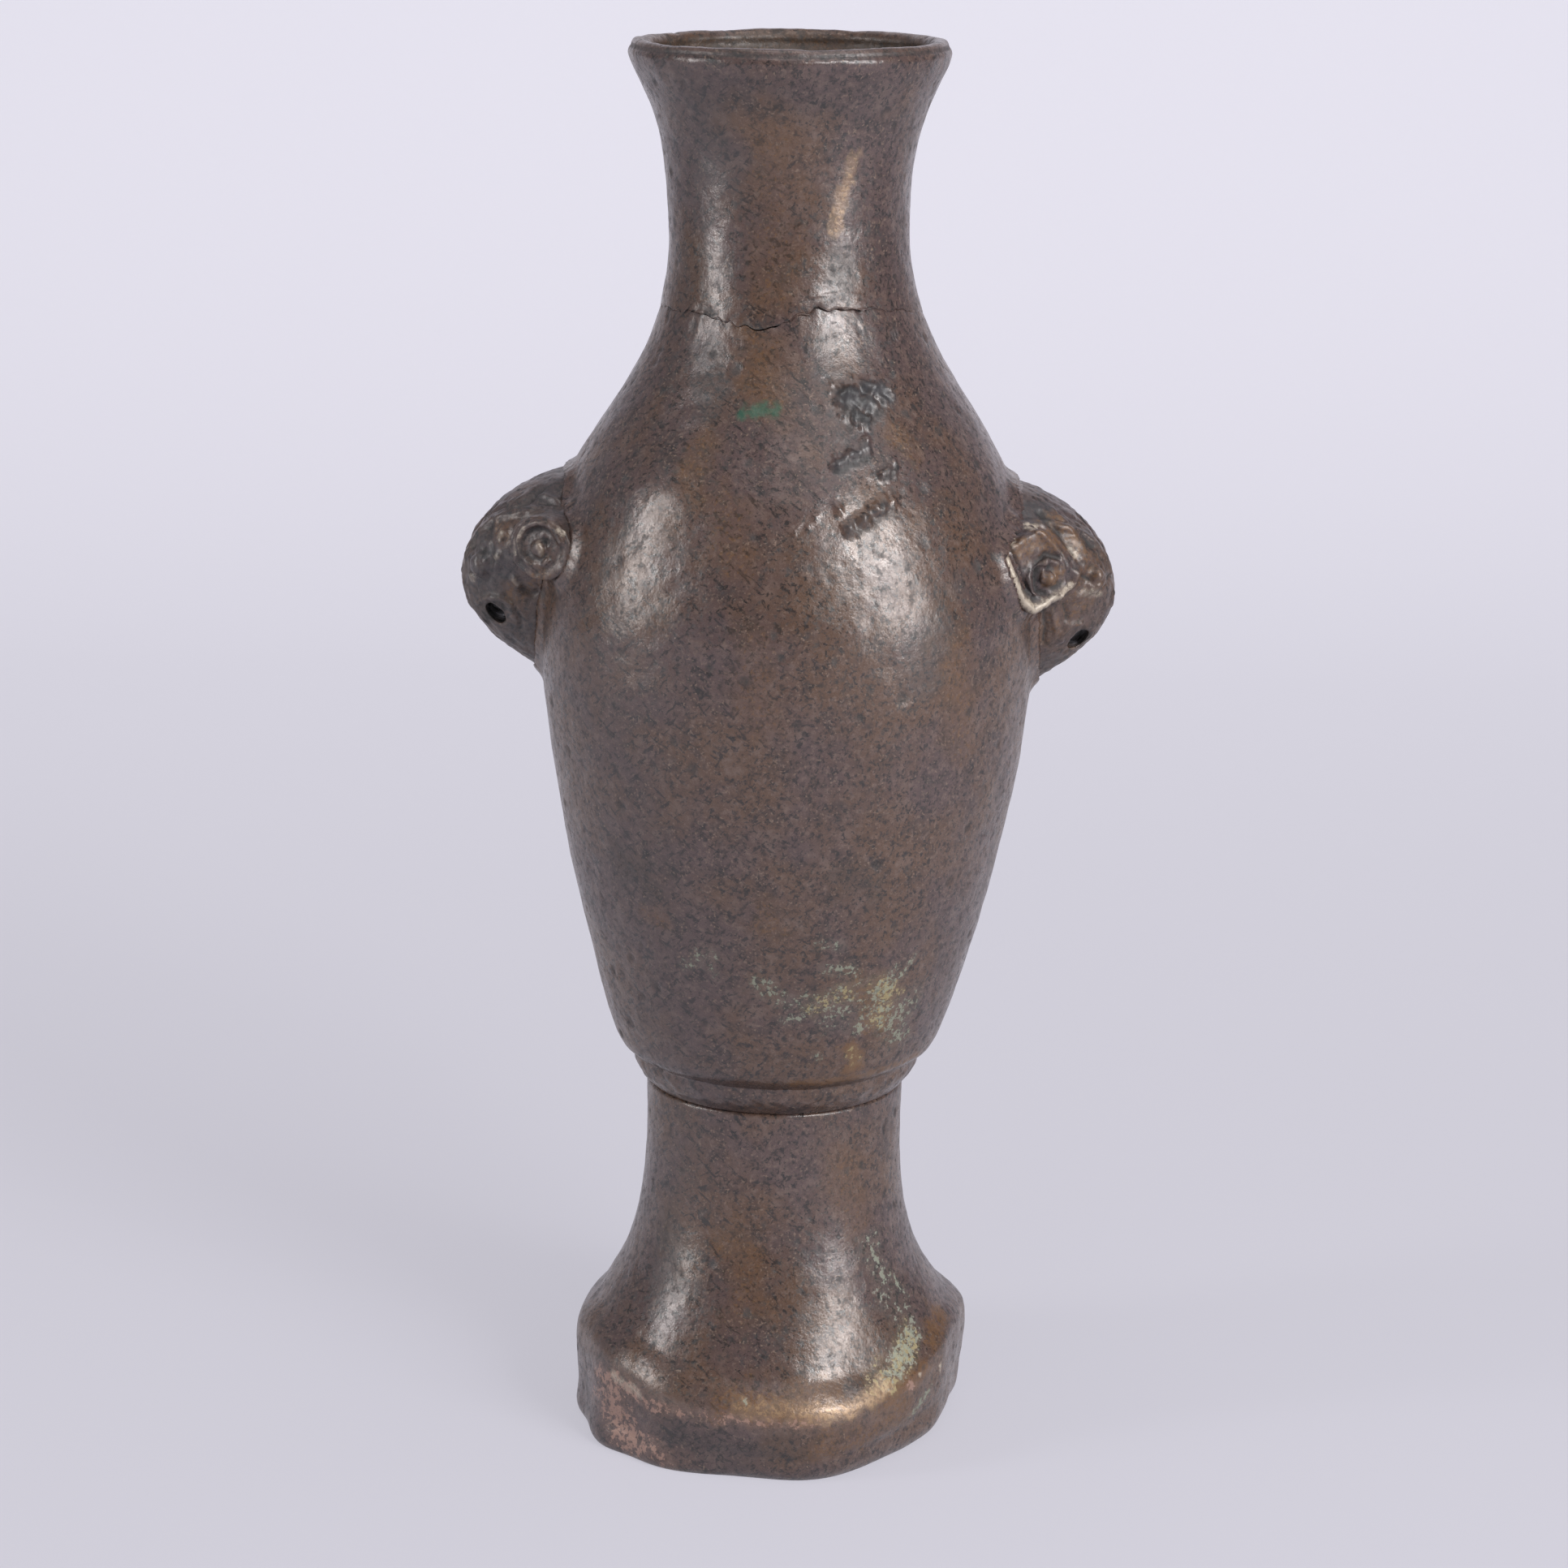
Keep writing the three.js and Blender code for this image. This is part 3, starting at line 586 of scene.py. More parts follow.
def filleted(points, normals, masks):
    """The body's skin raised to meet the masks in a small fillet, where they are soldered on."""
    moved = points.copy()
    for mask in masks:
        tree = BVHTree.FromPolygons(
            [vertex.co / MM for vertex in mask.data.vertices],
            [tuple(face.vertices) for face in mask.data.polygons],
        )
        low = np.array(mask.bound_box[0]) / MM - FILLET_REACH
        high = np.array(mask.bound_box[6]) / MM + FILLET_REACH
        beside = ((points > low) & (points < high)).all(1)
        facing_out = (normals * points)[:, :2].sum(1) > 0
        for number in np.flatnonzero(beside & facing_out):
            here, way = Vector(points[number]), Vector(normals[number])
            _, _, _, distance = tree.find_nearest(here, FILLET_REACH)
            if distance is None:
                continue
            rise = FILLET_RISE * (1 - distance / FILLET_REACH) ** 2
            _, _, _, ahead = tree.ray_cast(here, way, 2 * FILLET_REACH)
            if ahead is not None:
                rise = min(rise, ahead + FILLET_SINK)
            moved[number] += normals[number] * rise
    return moved


# Foot
FOOT_COLUMNS = 560
RIDGE_SHARE = 0.265  # height of the ridge over the band, as a share of the foot
JOINT_CLOSING = 0.26  # how far solder has closed the joint under the ring
# The table edge stands out a little at the two corners in front
CORNER_AT = math.radians(48)
CORNER_REACH = math.radians(16)
CORNER_SWELL = 0.3
# The ridge sags in front, and the flare runs down to it: (azimuth, how much lower)
RIDGE_SAG = [
    (-180, 0), (-75, 0), (-50, 0.3), (-38, 1.0), (-29, 2.4), (-12, 3.1), (0, 3.6), (20, 3.6), (38, 3.5),
    (48, 2.7), (60, 1.2), (75, 0), (180, 0),
]
SAG_BELOW = (1, 9.5)  # heights over which the sag grows, and over which it is gone again
SAG_ABOVE = (12.5, 24)
FOOT_MARKS = [
    ("copper_and_glint", 0.6, 4, [(-52, 6.4), (-44, 3.4)]),
    ("copper_and_glint", 0.5, 2.6, [(-64, 6), (-52, 7.5)]),
    ("copper_and_glint", 0.45, 2, [(-38, 4), (-33, 1.6)]),
    # Copper wear along the ridge at the left, brightened as a painted highlight where the ridge turns.
    ("copper_and_glint", 0.72, 1.1, [(-62, 9.2), (-52, 9.8), (-43.7, 9.8), (-35, 9.3)]),
    ("copper_and_glint", 0.45, 0.9, [(-35, 10), (-12, 11.4), (14, 11.8)]),
    # A pale run of painted glints along the ridge.
    ("painted_glint", 0.55, 0.7, [(-52, 10.2), (-46, 10), (-41, 9.8)]),
    # Gold wear along the ridge in front, brightened as a painted highlight where the ridge turns.
    ("gold_wear_and_sheen", 0.5, 1.3, [(-10, 12.8), (7, 12.9), (16, 12.6)]),
    ("gold_wear_and_sheen", 0.7, 1.1, [(10, 12.5), (22, 12.6), (31, 13.2), (37, 14)]),
    ("ochre", 0.6, 2.4, [(-16, 12.8), (0, 13.3), (20, 13.2)]),
    ("ochre", 0.6, 3.2, [(14, 7), (30, 8), (40, 10)]),
    ("ochre", 0.8, 1.6, [(34, 12.6), (44, 13.2), (54, 12.6)]),
    ("ochre", 0.75, 1.6, [(62, 14.9), (74, 15.2)]),
    ("ochre", 0.36, 3.4, [(-16, 27), (-10, 21)]),
    ("ochre", 0.3, 3.4, [(30, 38), (40, 30)]),
    ("green", 0.6, 1.8, [(45, 15.2), (56, 16.6)]),
    ("green", 0.56, 1.3, [(38, 14.6), (45, 15)]),
    ("green", 0.6, 0.6, [(46, 26), (50, 21.4)]),
    ("green", 0.6, 0.6, [(54, 22), (60, 19.5)]),
    ("green", 0.7, 1.1, [(57, 9), (50, 8)]),
    ("green", 0.32, 2.2, [(44, 26), (54, 18)]),
    ("green", 1, 0.3, [(-8.1, 13.7), (-7.9, 13.5)]),
    ("straw", 0.62, 1.6, [(32, 14), (54, 16)]),
    # Pale dots of painted glints.
    ("painted_glint", 1, 0.3, [(63, 11.1), (63, 10.4)]),
    ("painted_glint", 0.9, 0.25, [(51, 12.8), (51.2, 12.6)]),
    ("copper_and_glint", 0.7, 0.8, [(46, 12.8), (47, 12)]),
    ("dark", 0.4, 3.6, [(-52, 27), (-46, 22)]),
    # Painted shade: the front of the band under the ridge is darkened.
    ("dark", 0.4, 4, [(-24, 6), (4, 5.5)]),
]


def foot_skin():
    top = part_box("foot")[1][2] / MM

    def row_step(height, facing_out):
        return np.where(facing_out | (height < 1), ROW_SHOWN, ROW_HIDDEN)

    grid = turned_grid("foot", FOOT_COLUMNS, row_step, uneven=True)
    rows, columns = grid.shape[:2]
    normals = grid_normals(grid).reshape(-1, 3)
    points = grid.reshape(-1, 3)
    height = points[:, 2]
    outside = smoothstep(height, 0.2, 2) * (1 - smoothstep(height, top - 0.5, top))
    swell = 0.09 * waves(points, 24, 8, 31) + 0.025 * waves(points, 6, 2.4, 32)
    grain = 0.010 * waves(points, 1.8, 1.0, 33)
    pits = pitted(points, normals, 500, 0.25, 0.8, 34, height > 0.5)
    covers = mark_attributes(points, FOOT_MARKS)
    crusted = np.maximum(covers["copper_and_glint"], covers["green"])
    chips = 0.03 * crusted * waves(points, 1.8, 0.8, 35)
    relief_height = (swell + grain + chips - pits * 0.45) * outside + fuller(points, normals)
    azimuth = from_front(points)[0]
    corner = np.exp(-(((np.abs(azimuth) - CORNER_AT) / CORNER_REACH) ** 2)) * (1 - smoothstep(height, 0, 5))
    relief_height += CORNER_SWELL * corner * smoothstep(outward(points, normals), 0, 0.5)
    moved = points + normals * relief_height[:, None]
    angles, drops = np.array(RIDGE_SAG).T
    drop = sum(np.interp(np.degrees(azimuth) + turn, angles, drops) for turn in (-6, -3, 0, 3, 6)) / 5
    moved[:, 2] -= drop * smoothstep(height, *SAG_BELOW) * (1 - smoothstep(height, *SAG_ABOVE))
    moved[:, 2] += JOINT_CLOSING * (1 - smoothstep(top - height, 0.3, 1.5))
    made = mesh_object("foot_skin", swayed(moved), grid_faces(rows, columns))
    # The ridge is worn lighter all round, partly as a painted highlight along it.
    on_ridge = np.exp(-(((height - RIDGE_SHARE * top) / 1.4) ** 2))
    lay_on(covers, "wear_and_sheen", 0.55 * on_ridge)
    lay_on(covers, "dark", 0.7 * smoothstep(pits, 0.03, 0.18))
    write_attributes(made, covers)
    return made


# Base plate
PLATE_COLUMNS = 160


def turned_plate(node_name):
    """Base plate as rows by columns, closed through the axis at both faces."""
    low, high = (np.array(corner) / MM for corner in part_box(node_name))
    radius, bottom, top = high[0], low[2], high[2]
    rings = np.concatenate([
        [(r, top) for r in np.linspace(0.02, radius - 0.3, 30)],
        [(radius - 0.1, top - 0.05), (radius, top - 0.3)],
        [(radius, bottom + 0.3), (radius - 0.1, bottom + 0.05)],
        [(r, bottom) for r in np.linspace(radius - 0.3, 0.02, 60)],
    ])
    angle = np.arange(PLATE_COLUMNS) * 2 * np.pi / PLATE_COLUMNS
    grid = np.stack([
        rings[:, :1] * np.cos(angle),
        rings[:, :1] * np.sin(angle),
        np.repeat(rings[:, 1:], PLATE_COLUMNS, 1),
    ], -1)
    points = grid.reshape(-1, 3)
    hammered = 0.08 * waves(points, 9, 4, 51) + 0.03 * waves(points, 2.4, 1.2, 52)
    inner = 1 - smoothstep(np.hypot(points[:, 0], points[:, 1]), radius - 2, radius - 0.5)
    points[:, 2] += hammered * inner
    return points.reshape(grid.shape)


def plate_skin():
    grid = turned_plate("base_plate")
    rows, columns = grid.shape[:2]
    points = grid.reshape(-1, 3)
    return mesh_object("plate_skin", swayed(points), grid_faces(rows, columns))


# Masks: fineness of the skin, and how softly the casting is worn
VOXEL = 0.2
WORN_PASSES = 14
MASK_UP = 13  # tip of a mask to its upper end
# Side strokes are placed as they are seen against an upright plane through the ears, from a place a
# little to the right of the camera: marks out from the axis and up from the tip
EAR_PLANE = 11
STROKES_FROM = 0.4
# Side relief, as (height, half width, marks)
LEFT_RELIEF = [
    (-0.15, 0.35, [(30.7, 4.4), (30.8, 6.2), (30, 7.5), (28.7, 8), (27.2, 7.6), (26.4, 6.6)]),
    (0.2, 0.35, [(31.2, 4.8), (31.4, 6.4), (30.7, 7.9), (29.2, 8.7), (27.4, 8.7), (26, 7.7)]),
    (-0.15, 0.3, [(26.2, 5.6), (26.8, 4.2), (28, 3.4), (29.4, 3.6)]),
    (0.2, 0.35, [(28.7, 6.3), (28.4, 5)]),
    (-0.25, 0.3, [(27.8, 6.2), (27.9, 6.8)]),
    (-0.5, 0.45, [(28.4, 12.8), (29.6, 11.6), (31, 10.7), (32.4, 10.3)]),
    (0.3, 0.35, [(26.6, 11.4), (27.8, 11.9), (29, 12)]),
    (-0.25, 0.3, [(26.2, 10.5), (27.8, 10.9), (29.4, 10.3)]),
    (0.35, 0.4, [(32.8, 7.7), (33.1, 6.6)]),
    (-0.25, 0.35, [(34.2, 9), (34.4, 7.2), (34, 5.6)]),
    (0.35, 0.35, [(33.6, 4.8), (33.5, 4.5)]),
    (0.3, 0.35, [(33.7, 3.6), (33.7, 3.3)]),
    (-0.25, 0.35, [(35, 5.6), (35.4, 4.2), (34.8, 2.8)]),
    (0.35, 0.45, [(36.3, 2.4), (36.2, 1.9)]),
    (0.4, 0.4, [(31.5, 2), (31, 1.4)]),
    (-0.35, 0.4, [(30.6, 0.9), (29.6, 0.2), (28.8, 0.5)]),
    (0.3, 0.3, [(35.7, -0.8), (34.6, -0.2), (33, -0.3), (31.8, -1)]),
    (-0.25, 0.3, [(31.4, -1.6), (30.8, -2.6), (30.9, -3.8)]),
    (-0.2, 0.3, [(28.4, -5.6), (28.3, -6.9)]),
]
RIGHT_RELIEF = [
    (0.75, 0.5, [(25.2, 6.3), (26, 4.2), (26.9, 2.1), (27.8, 0.4), (28.9, -0.6), (30.3, 0.3), (31.8, 1.3)]),
    (0.5, 0.4, [(31.8, 1.3), (33.4, 2.5), (34, 3.8)]),
    (-0.5, 0.32, [(26.2, 6.2), (27.2, 3.9), (28.2, 1.8), (29, 0.9)]),
    (0.35, 0.4, [(26, 7.1), (26.7, 8.3), (28.2, 9.2), (29.6, 8.6), (31.4, 6.9), (32.5, 5.3), (33.4, 4.1)]),
    (-0.45, 0.32, [(31.8, 5.7), (30.3, 6), (29.3, 5.1), (29, 3.4), (29.3, 1.7), (30.2, 1.3)]),
    (0.3, 0.3, [(30.5, 5.4), (30, 4.4), (30, 3)]),
    (0.4, 0.55, [(31.2, 3.4), (31, 3)]),
    (0.25, 0.35, [(32.6, 4.6), (32.6, 4.4)]),
    (-0.45, 0.38, [(29.4, 10.9), (31.7, 8.6), (33.3, 6.7), (34.4, 5)]),
    (0.3, 0.35, [(30.8, 11.4), (32.8, 9.3), (34.5, 6.9), (35.3, 5.5)]),
    (-0.3, 0.35, [(31.4, 12.2), (33.8, 9.8), (35.6, 7)]),
    (0.35, 0.45, [(34.5, 5.3), (34.7, 5)]),
    (0.35, 0.5, [(36.4, 4.3), (36.8, 3.4)]),
    (-0.3, 0.35, [(34.8, 3.4), (36.2, 2.4), (38, 3.6)]),
    (0.3, 0.4, [(35, 1.6), (34, 0.8)]),
    (-0.25, 0.35, [(36.6, 1.4), (36.8, -0.4)]),
    (0.35, 0.4, [(28.6, -3.1), (28.6, -3.5)]),
    (-0.3, 0.3, [(30.2, -0.6), (30.5, -2.6), (30.4, -4.4)]),
    (0.25, 0.3, [(31.2, -0.8), (31.7, -2.4), (31.8, -3.8)]),
    (-0.25, 0.3, [(32.6, 0), (33, -1.6)]),
]
# Side marks, as on the turned skins
LEFT_MARKS = [
    # The pale marks on the raised rings here are painted highlights.
    ("painted_glint", 0.8, 0.4, [(26.2, 7.7), (25.9, 7.5)]),
    ("painted_glint", 0.4, 0.3, [(31.3, 5.2), (31.3, 6.6), (30.4, 8.1)]),
    ("painted_glint", 0.4, 0.35, [(28.7, 6.3), (28.4, 4.9)]),
    ("painted_glint", 0.35, 0.4, [(32.9, 7.6), (33.1, 6.8)]),
    ("painted_glint", 0.4, 0.35, [(33.6, 4.8), (33.5, 4.5)]),
    ("painted_glint", 0.4, 0.35, [(31.5, 1.9), (31, 1.4)]),
    ("painted_glint", 0.35, 0.4, [(36.3, 2.4), (36.2, 1.9)]),
    ("ochre", 0.55, 1.6, [(31.6, 0.2), (29.4, 1.6), (28.4, 2.4)]),
    ("ochre", 0.45, 1.3, [(32.7, 8.2), (33, 7)]),
    ("slate_and_shade", 0.6, 4.5, [(36.5, 7), (35, 1)]),
    ("slate_and_shade", 0.6, 2.4, [(31.5, -5), (29, -4)]),
    ("slate_and_shade", 0.5, 3, [(28, 12), (33, 11)]),
    ("dark", 0.8, 0.6, [(28.4, 12.8), (29.6, 11.6), (31, 10.7), (32.4, 10.3)]),
    ("dark", 0.6, 0.45, [(30.7, 4.4), (30.8, 6.2), (30, 7.5), (28.7, 8)]),
    ("dark", 0.6, 0.8, [(25.2, 9.6), (24.8, 7.2)]),
    ("dark", 0.6, 0.9, [(30.6, 0.7), (29.6, 0)]),
    ("dark", 1, 1.5, [(34.4, -2.1)]),
]
RIGHT_MARKS = [
    # The pale marks along the raised flange and rings here are painted highlights.
    ("painted_glint", 1, 0.65, [(25.3, 6), (26, 4.2), (26.9, 2.1), (27.8, 0.4), (28.9, -0.6), (30.3, 0.3)]),
    ("painted_glint", 0.9, 0.5, [(30.3, 0.3), (31.8, 1.3), (33.4, 2.5)]),
    ("painted_glint", 1, 0.5, [(26, 7.1), (26.4, 7.5)]),
    ("painted_glint", 0.7, 0.45, [(28, 9.3), (28.8, 9.2)]),
    ("painted_glint", 0.7, 0.4, [(33.2, 6.9), (33.9, 5.9)]),
    ("painted_glint", 0.6, 0.5, [(28.6, -3), (28.6, -3.6)]),
    ("painted_glint", 0.5, 0.5, [(35, 1.6), (36.6, 1.4)]),
    ("ochre", 0.7, 2, [(27.6, 6.6), (29.4, 7.6), (31.2, 6.8)]),
    ("ochre", 0.8, 1.2, [(31.6, 3.6), (31, 2.8)]),
    ("ochre", 0.7, 1.3, [(31.2, 10.2), (33.4, 8), (35.2, 5.6)]),
    ("ochre", 0.4, 2.6, [(35, 3), (33, -1.5), (30.5, -3)]),
    # Painted shade along the top edge of the mask.
    ("slate_and_shade", 0.8, 1.8, [(27.2, 11.2), (29, 11.4)]),
    ("slate_and_shade", 0.7, 1.6, [(30.6, 12.8), (34.4, 10)]),
    ("slate_and_shade", 0.5, 1.6, [(31.2, -7), (35, -7)]),
    ("dark", 0.8, 0.45, [(26.2, 6.2), (27.2, 3.9), (28.2, 1.8)]),
    ("dark", 0.8, 0.5, [(31.8, 5.7), (30.3, 6), (29.3, 5.1), (29, 3.4), (29.3, 1.7)]),
    ("dark", 0.7, 0.5, [(29.4, 10.9), (31.7, 8.6), (33.3, 6.7)]),
    ("dark", 0.6, 0.8, [(25.2, 8.4), (24.9, 6.8)]),
    ("dark", 1, 1.5, [(34.9, -3.7)]),
]
# Relief seen from in front, the same on both halves of the face, as marks across and up
FRONT_RELIEF = [
    (-0.4, 0.35, [(1, 3.4), (1.2, 6), (1, 8.6)]),
    (-0.35, 0.4, [(3.2, 1.4), (5.4, 0.6), (7.4, 1.8)]),
    (-0.3, 0.35, [(3.6, 4.4), (6, 4.8), (7.6, 3.6)]),
    (0.3, 0.5, [(2.2, -0.4), (3.2, -2.2), (2.6, -3.8)]),
    (-0.35, 0.35, [(0.9, -2.6), (2.2, -4.4), (4.4, -5.2)]),
    (-0.25, 0.3, [(2.4, 8), (4.8, 10), (7.4, 10.8)]),
]


def remeshed(node_name):
    """The node's outer skin as fine, even quads: points in millimetres and faces."""
    shape = welded(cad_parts[node_name])
    mesh = bpy.data.meshes.new("scratch")
    shape.to_mesh(mesh)
    shape.free()
    scratch = bpy.data.objects.new("scratch", mesh)
    bpy.context.scene.collection.objects.link(scratch)
    remesh = scratch.modifiers.new("remesh", "REMESH")
    remesh.mode = "VOXEL"
    remesh.voxel_size = VOXEL
    evaluated = scratch.evaluated_get(bpy.context.evaluated_depsgraph_get())
    result = bpy.data.meshes.new_from_object(evaluated)
    points = np.empty(len(result.vertices) * 3, np.float32)
    result.vertices.foreach_get("co", points)
    faces = np.empty(len(result.polygons) * 4, np.int32)
    result.polygons.foreach_get("vertices", faces)
    edges = np.empty(len(result.edges) * 2, np.int32)
    result.edges.foreach_get("vertices", edges)
    bpy.data.objects.remove(scratch)
    bpy.data.meshes.remove(mesh)
    bpy.data.meshes.remove(result)
    return points.reshape(-1, 3).astype(float), faces.reshape(-1, 4), edges.reshape(-1, 2)


def averaged(values, edges, passes, share=0.5):
    """Values at the points of a mesh, moved towards the mean of their neighbours a few times over."""
    count = np.bincount(edges.ravel(), minlength=len(values))[:, None]
    for _ in range(passes):
        total = np.zeros_like(values)
        for axis in range(values.shape[1]):
            total[:, axis] += np.bincount(edges[:, 0], values[edges[:, 1], axis], len(values))
            total[:, axis] += np.bincount(edges[:, 1], values[edges[:, 0], axis], len(values))
        values = values + share * (total / count - values)
    return values


def worn(points, edges):
    """Points with everything small smoothed away, and the bulk kept."""
    for _ in range(WORN_PASSES):
        points = averaged(points, edges, 1, 0.6)
        points = averaged(points, edges, 1, -0.63)
    return points


def quad_normals(points, faces):
    across = points[faces[:, 2]] - points[faces[:, 0]]
    other = points[faces[:, 3]] - points[faces[:, 1]]
    face_normals = np.cross(across, other)
    normals = np.zeros_like(points)
    for corner in range(4):
        for axis in range(3):
            normals[:, axis] += np.bincount(faces[:, corner], face_normals[:, axis], len(points))
    return normals / np.maximum(np.linalg.norm(normals, axis=1, keepdims=True), 1e-9)


def relief(across, up, weight, strokes):
    total = np.zeros(len(across))
    for height, width, marks in strokes:
        distance = to_stroke(across, up, marks)
        total += height * np.exp(-((distance / width) ** 2)) * weight
    return total


def against_plane(points, facing, tip):
    """Out and up of each point of a mask, as its front half is seen against the plane of the ears."""
    eye = np.array(CAMERA_AT) / MM
    mirrored = np.stack([points[:, 0], -np.abs(points[:, 1]), points[:, 2]], -1)
    share = (-EAR_PLANE - eye[1]) / (mirrored[:, 1] - eye[1])
    seen = eye + (mirrored - eye) * share[:, None]
    return (seen[:, 0] + STROKES_FROM) * facing, seen[:, 2] - tip


def mask_skin(name, node_name, facing, sunk, side_relief, side_marks):
    """A mask lug, cast soft and worn. It faces +X or -X, given as 1 or -1, and sits lower by `sunk`."""
    points, faces, edges = remeshed(node_name)
    points = worn(points, edges)
    normals = quad_normals(points, faces)
    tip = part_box(node_name)[1][2] / MM - MASK_UP + sunk
    out, up = against_plane(points, facing, tip)
    sideways = smoothstep(np.abs(normals[:, 1]), 0.2, 0.5)
    forward = smoothstep(normals[:, 0] * facing, 0.3, 0.65) * (1 - sideways)
    across = np.abs(points[:, 1])
    carving = relief(out, up, sideways, side_relief)
    carving += relief(across, points[:, 2] - tip, forward, FRONT_RELIEF)
    outside = smoothstep(np.hypot(points[:, 0], points[:, 1]), 27.5, 29.0)
    rough = 0.07 * waves(points, 5, 2.0, 41) + 0.06 * waves(points, 1.8, 0.8, 42)
    points = points + normals * (carving + rough * outside)[:, None]
    points = averaged(points, edges, 1)
    normals = quad_normals(points, faces)

    def seen_distance(_, marks):
        return to_stroke(out, up, marks) + 4 * forward

    covers = mark_attributes(points, side_marks, seen_distance)
    stand = ((points - averaged(points, edges, 24)) * normals).sum(1)
    # Raised parts are worn and made lighter, partly as a painted highlight on them.
    covers["wear_and_sheen"] = 0.5 * smoothstep(stand, 0.05, 0.25)
    lay_on(covers, "dark", smoothstep(-stand, 0.02, 0.16))
    points[:, 2] -= sunk
    made = mesh_object(name, points, faces)
    write_attributes(made, covers)
    return made


# Materials
class Shader:
    """Short words for a node material."""

    def __init__(self, name):
        self.material = bpy.data.materials.new(name)
        self.material.use_nodes = True
        self.tree = self.material.node_tree
        self.tree.nodes.clear()

    def node(self, kind, **settings):
        made = self.tree.nodes.new(kind)
        for key, value in settings.items():
            setattr(made, key, value)
        return made

    def feed(self, socket, value):
        if isinstance(value, bpy.types.NodeSocket):
            self.tree.links.new(value, socket)
        else:
            socket.default_value = value

    def math(self, operation, first, second=0.0, clamp=False):
        made = self.node("ShaderNodeMath", operation=operation, use_clamp=clamp)
        self.feed(made.inputs[0], first)
        self.feed(made.inputs[1], second)
        return made.outputs[0]

    def blend(self, share, first, second):
        """A number between two others."""
        made = self.node("ShaderNodeMix", data_type="FLOAT")
        self.feed(made.inputs[0], share)
        self.feed(made.inputs[2], first)
        self.feed(made.inputs[3], second)
        return made.outputs[0]

    def mix(self, share, first, second, blend="MIX"):
        made = self.node("ShaderNodeMix", data_type="RGBA", blend_type=blend)
        self.feed(made.inputs[0], share)
        self.feed(made.inputs[6], first)
        self.feed(made.inputs[7], second)
        return made.outputs[2]

    def step(self, value, low, high, to_low=0.0, to_high=1.0):
        made = self.node("ShaderNodeMapRange", interpolation_type="SMOOTHSTEP")
        for socket, number in zip(made.inputs, (value, low, high, to_low, to_high)):
            self.feed(socket, number)
        return made.outputs[0]

    def cover(self, kind):
        return self.node("ShaderNodeAttribute", attribute_name=kind).outputs["Fac"]

    def place(self, stretch=(1, 1, 1), turn=(0, 0, 0)):
        """Object coordinates, turned and then stretched."""
        where = self.node("ShaderNodeTexCoord").outputs["Object"]
        mapping = self.node("ShaderNodeMapping", vector_type="TEXTURE")
        self.feed(mapping.inputs["Vector"], where)
        mapping.inputs["Scale"].default_value = stretch
        mapping.inputs["Rotation"].default_value = turn
        return mapping.outputs[0]

    def noise(self, size, detail=3.0, roughness=0.55, where=None, distortion=0.0):
        """Noise with blotches of about that size in millimetres."""
        made = self.node("ShaderNodeTexNoise")
        self.feed(made.inputs["Vector"], where or self.place())
        made.inputs["Scale"].default_value = 1 / (size * MM)
        made.inputs["Detail"].default_value = detail
        made.inputs["Roughness"].default_value = roughness
        made.inputs["Distortion"].default_value = distortion
        return made.outputs[0]


MAUVE = (0.102, 0.064, 0.060, 1)
RUSSET = (0.122, 0.066, 0.040, 1)
UMBER = (0.044, 0.029, 0.027, 1)
PALE_BROWN = (0.200, 0.136, 0.111, 1)
GLINT = (0.29, 0.20, 0.15, 1)
# Near-black of scratches and pits, also used by the dark marks, some of which are painted shade.
SOOT_AND_SHADE = (0.012, 0.010, 0.010, 1)
# Colour of each kind of mark, how far it covers the bronze, how much of it is broken into grains, the
# size of the grains in millimetres, how much metal shows in it and how much duller it is
MARKS = {
    "wear_and_sheen": ((0.26, 0.19, 0.155, 1), 0.45, 0.6, 0.6, 0.4, 0.0),
    "slate_and_shade": ((0.036, 0.036, 0.040, 1), 0.9, 0.35, 0.8, 0.1, 0.2),
    "ochre": ((0.19, 0.092, 0.032, 1), 0.75, 0.7, 0.5, 0.15, 0.05),
    "straw": ((0.46, 0.37, 0.18, 1), 0.8, 0.9, 0.55, 0.0, 0.2),
    "gold_wear_and_sheen": ((0.55, 0.36, 0.21, 1), 0.8, 0.5, 0.5, 0.4, 0.08),
    "copper_and_glint": ((0.47, 0.285, 0.22, 1), 0.85, 0.88, 0.7, 0.35, 0.05),
    "green": ((0.32, 0.34, 0.26, 1), 0.8, 0.92, 0.6, 0.0, 0.3),
    "jade": ((0.022, 0.115, 0.070, 1), 0.7, 0.5, 0.5, 0.0, 0.0),
    # Pale marks painted as highlights on raised edges.
    "painted_glint": ((0.58, 0.49, 0.39, 1), 0.9, 0.6, 0.4, 0.1, 0.05),
    "dark": (SOOT_AND_SHADE, 0.85, 0.4, 0.6, 0.0, 0.4),
}


def broken(shader, kind, share, size):
    """Cover of a kind of mark, a share of it broken into grains that close up as it gets denser."""
    grains = shader.noise(size, 4.0, 0.65)
    density = shader.cover(kind)
    lifted = shader.math("ADD", grains, shader.math("MULTIPLY", density, 0.35))
    grained = shader.step(lifted, 0.66, 0.74, 1 - share, 1)
    thin = shader.math("POWER", density, 1.6)
    return shader.math("MULTIPLY", grained, shader.blend(share, thin, shader.step(density, 0, 0.3)))


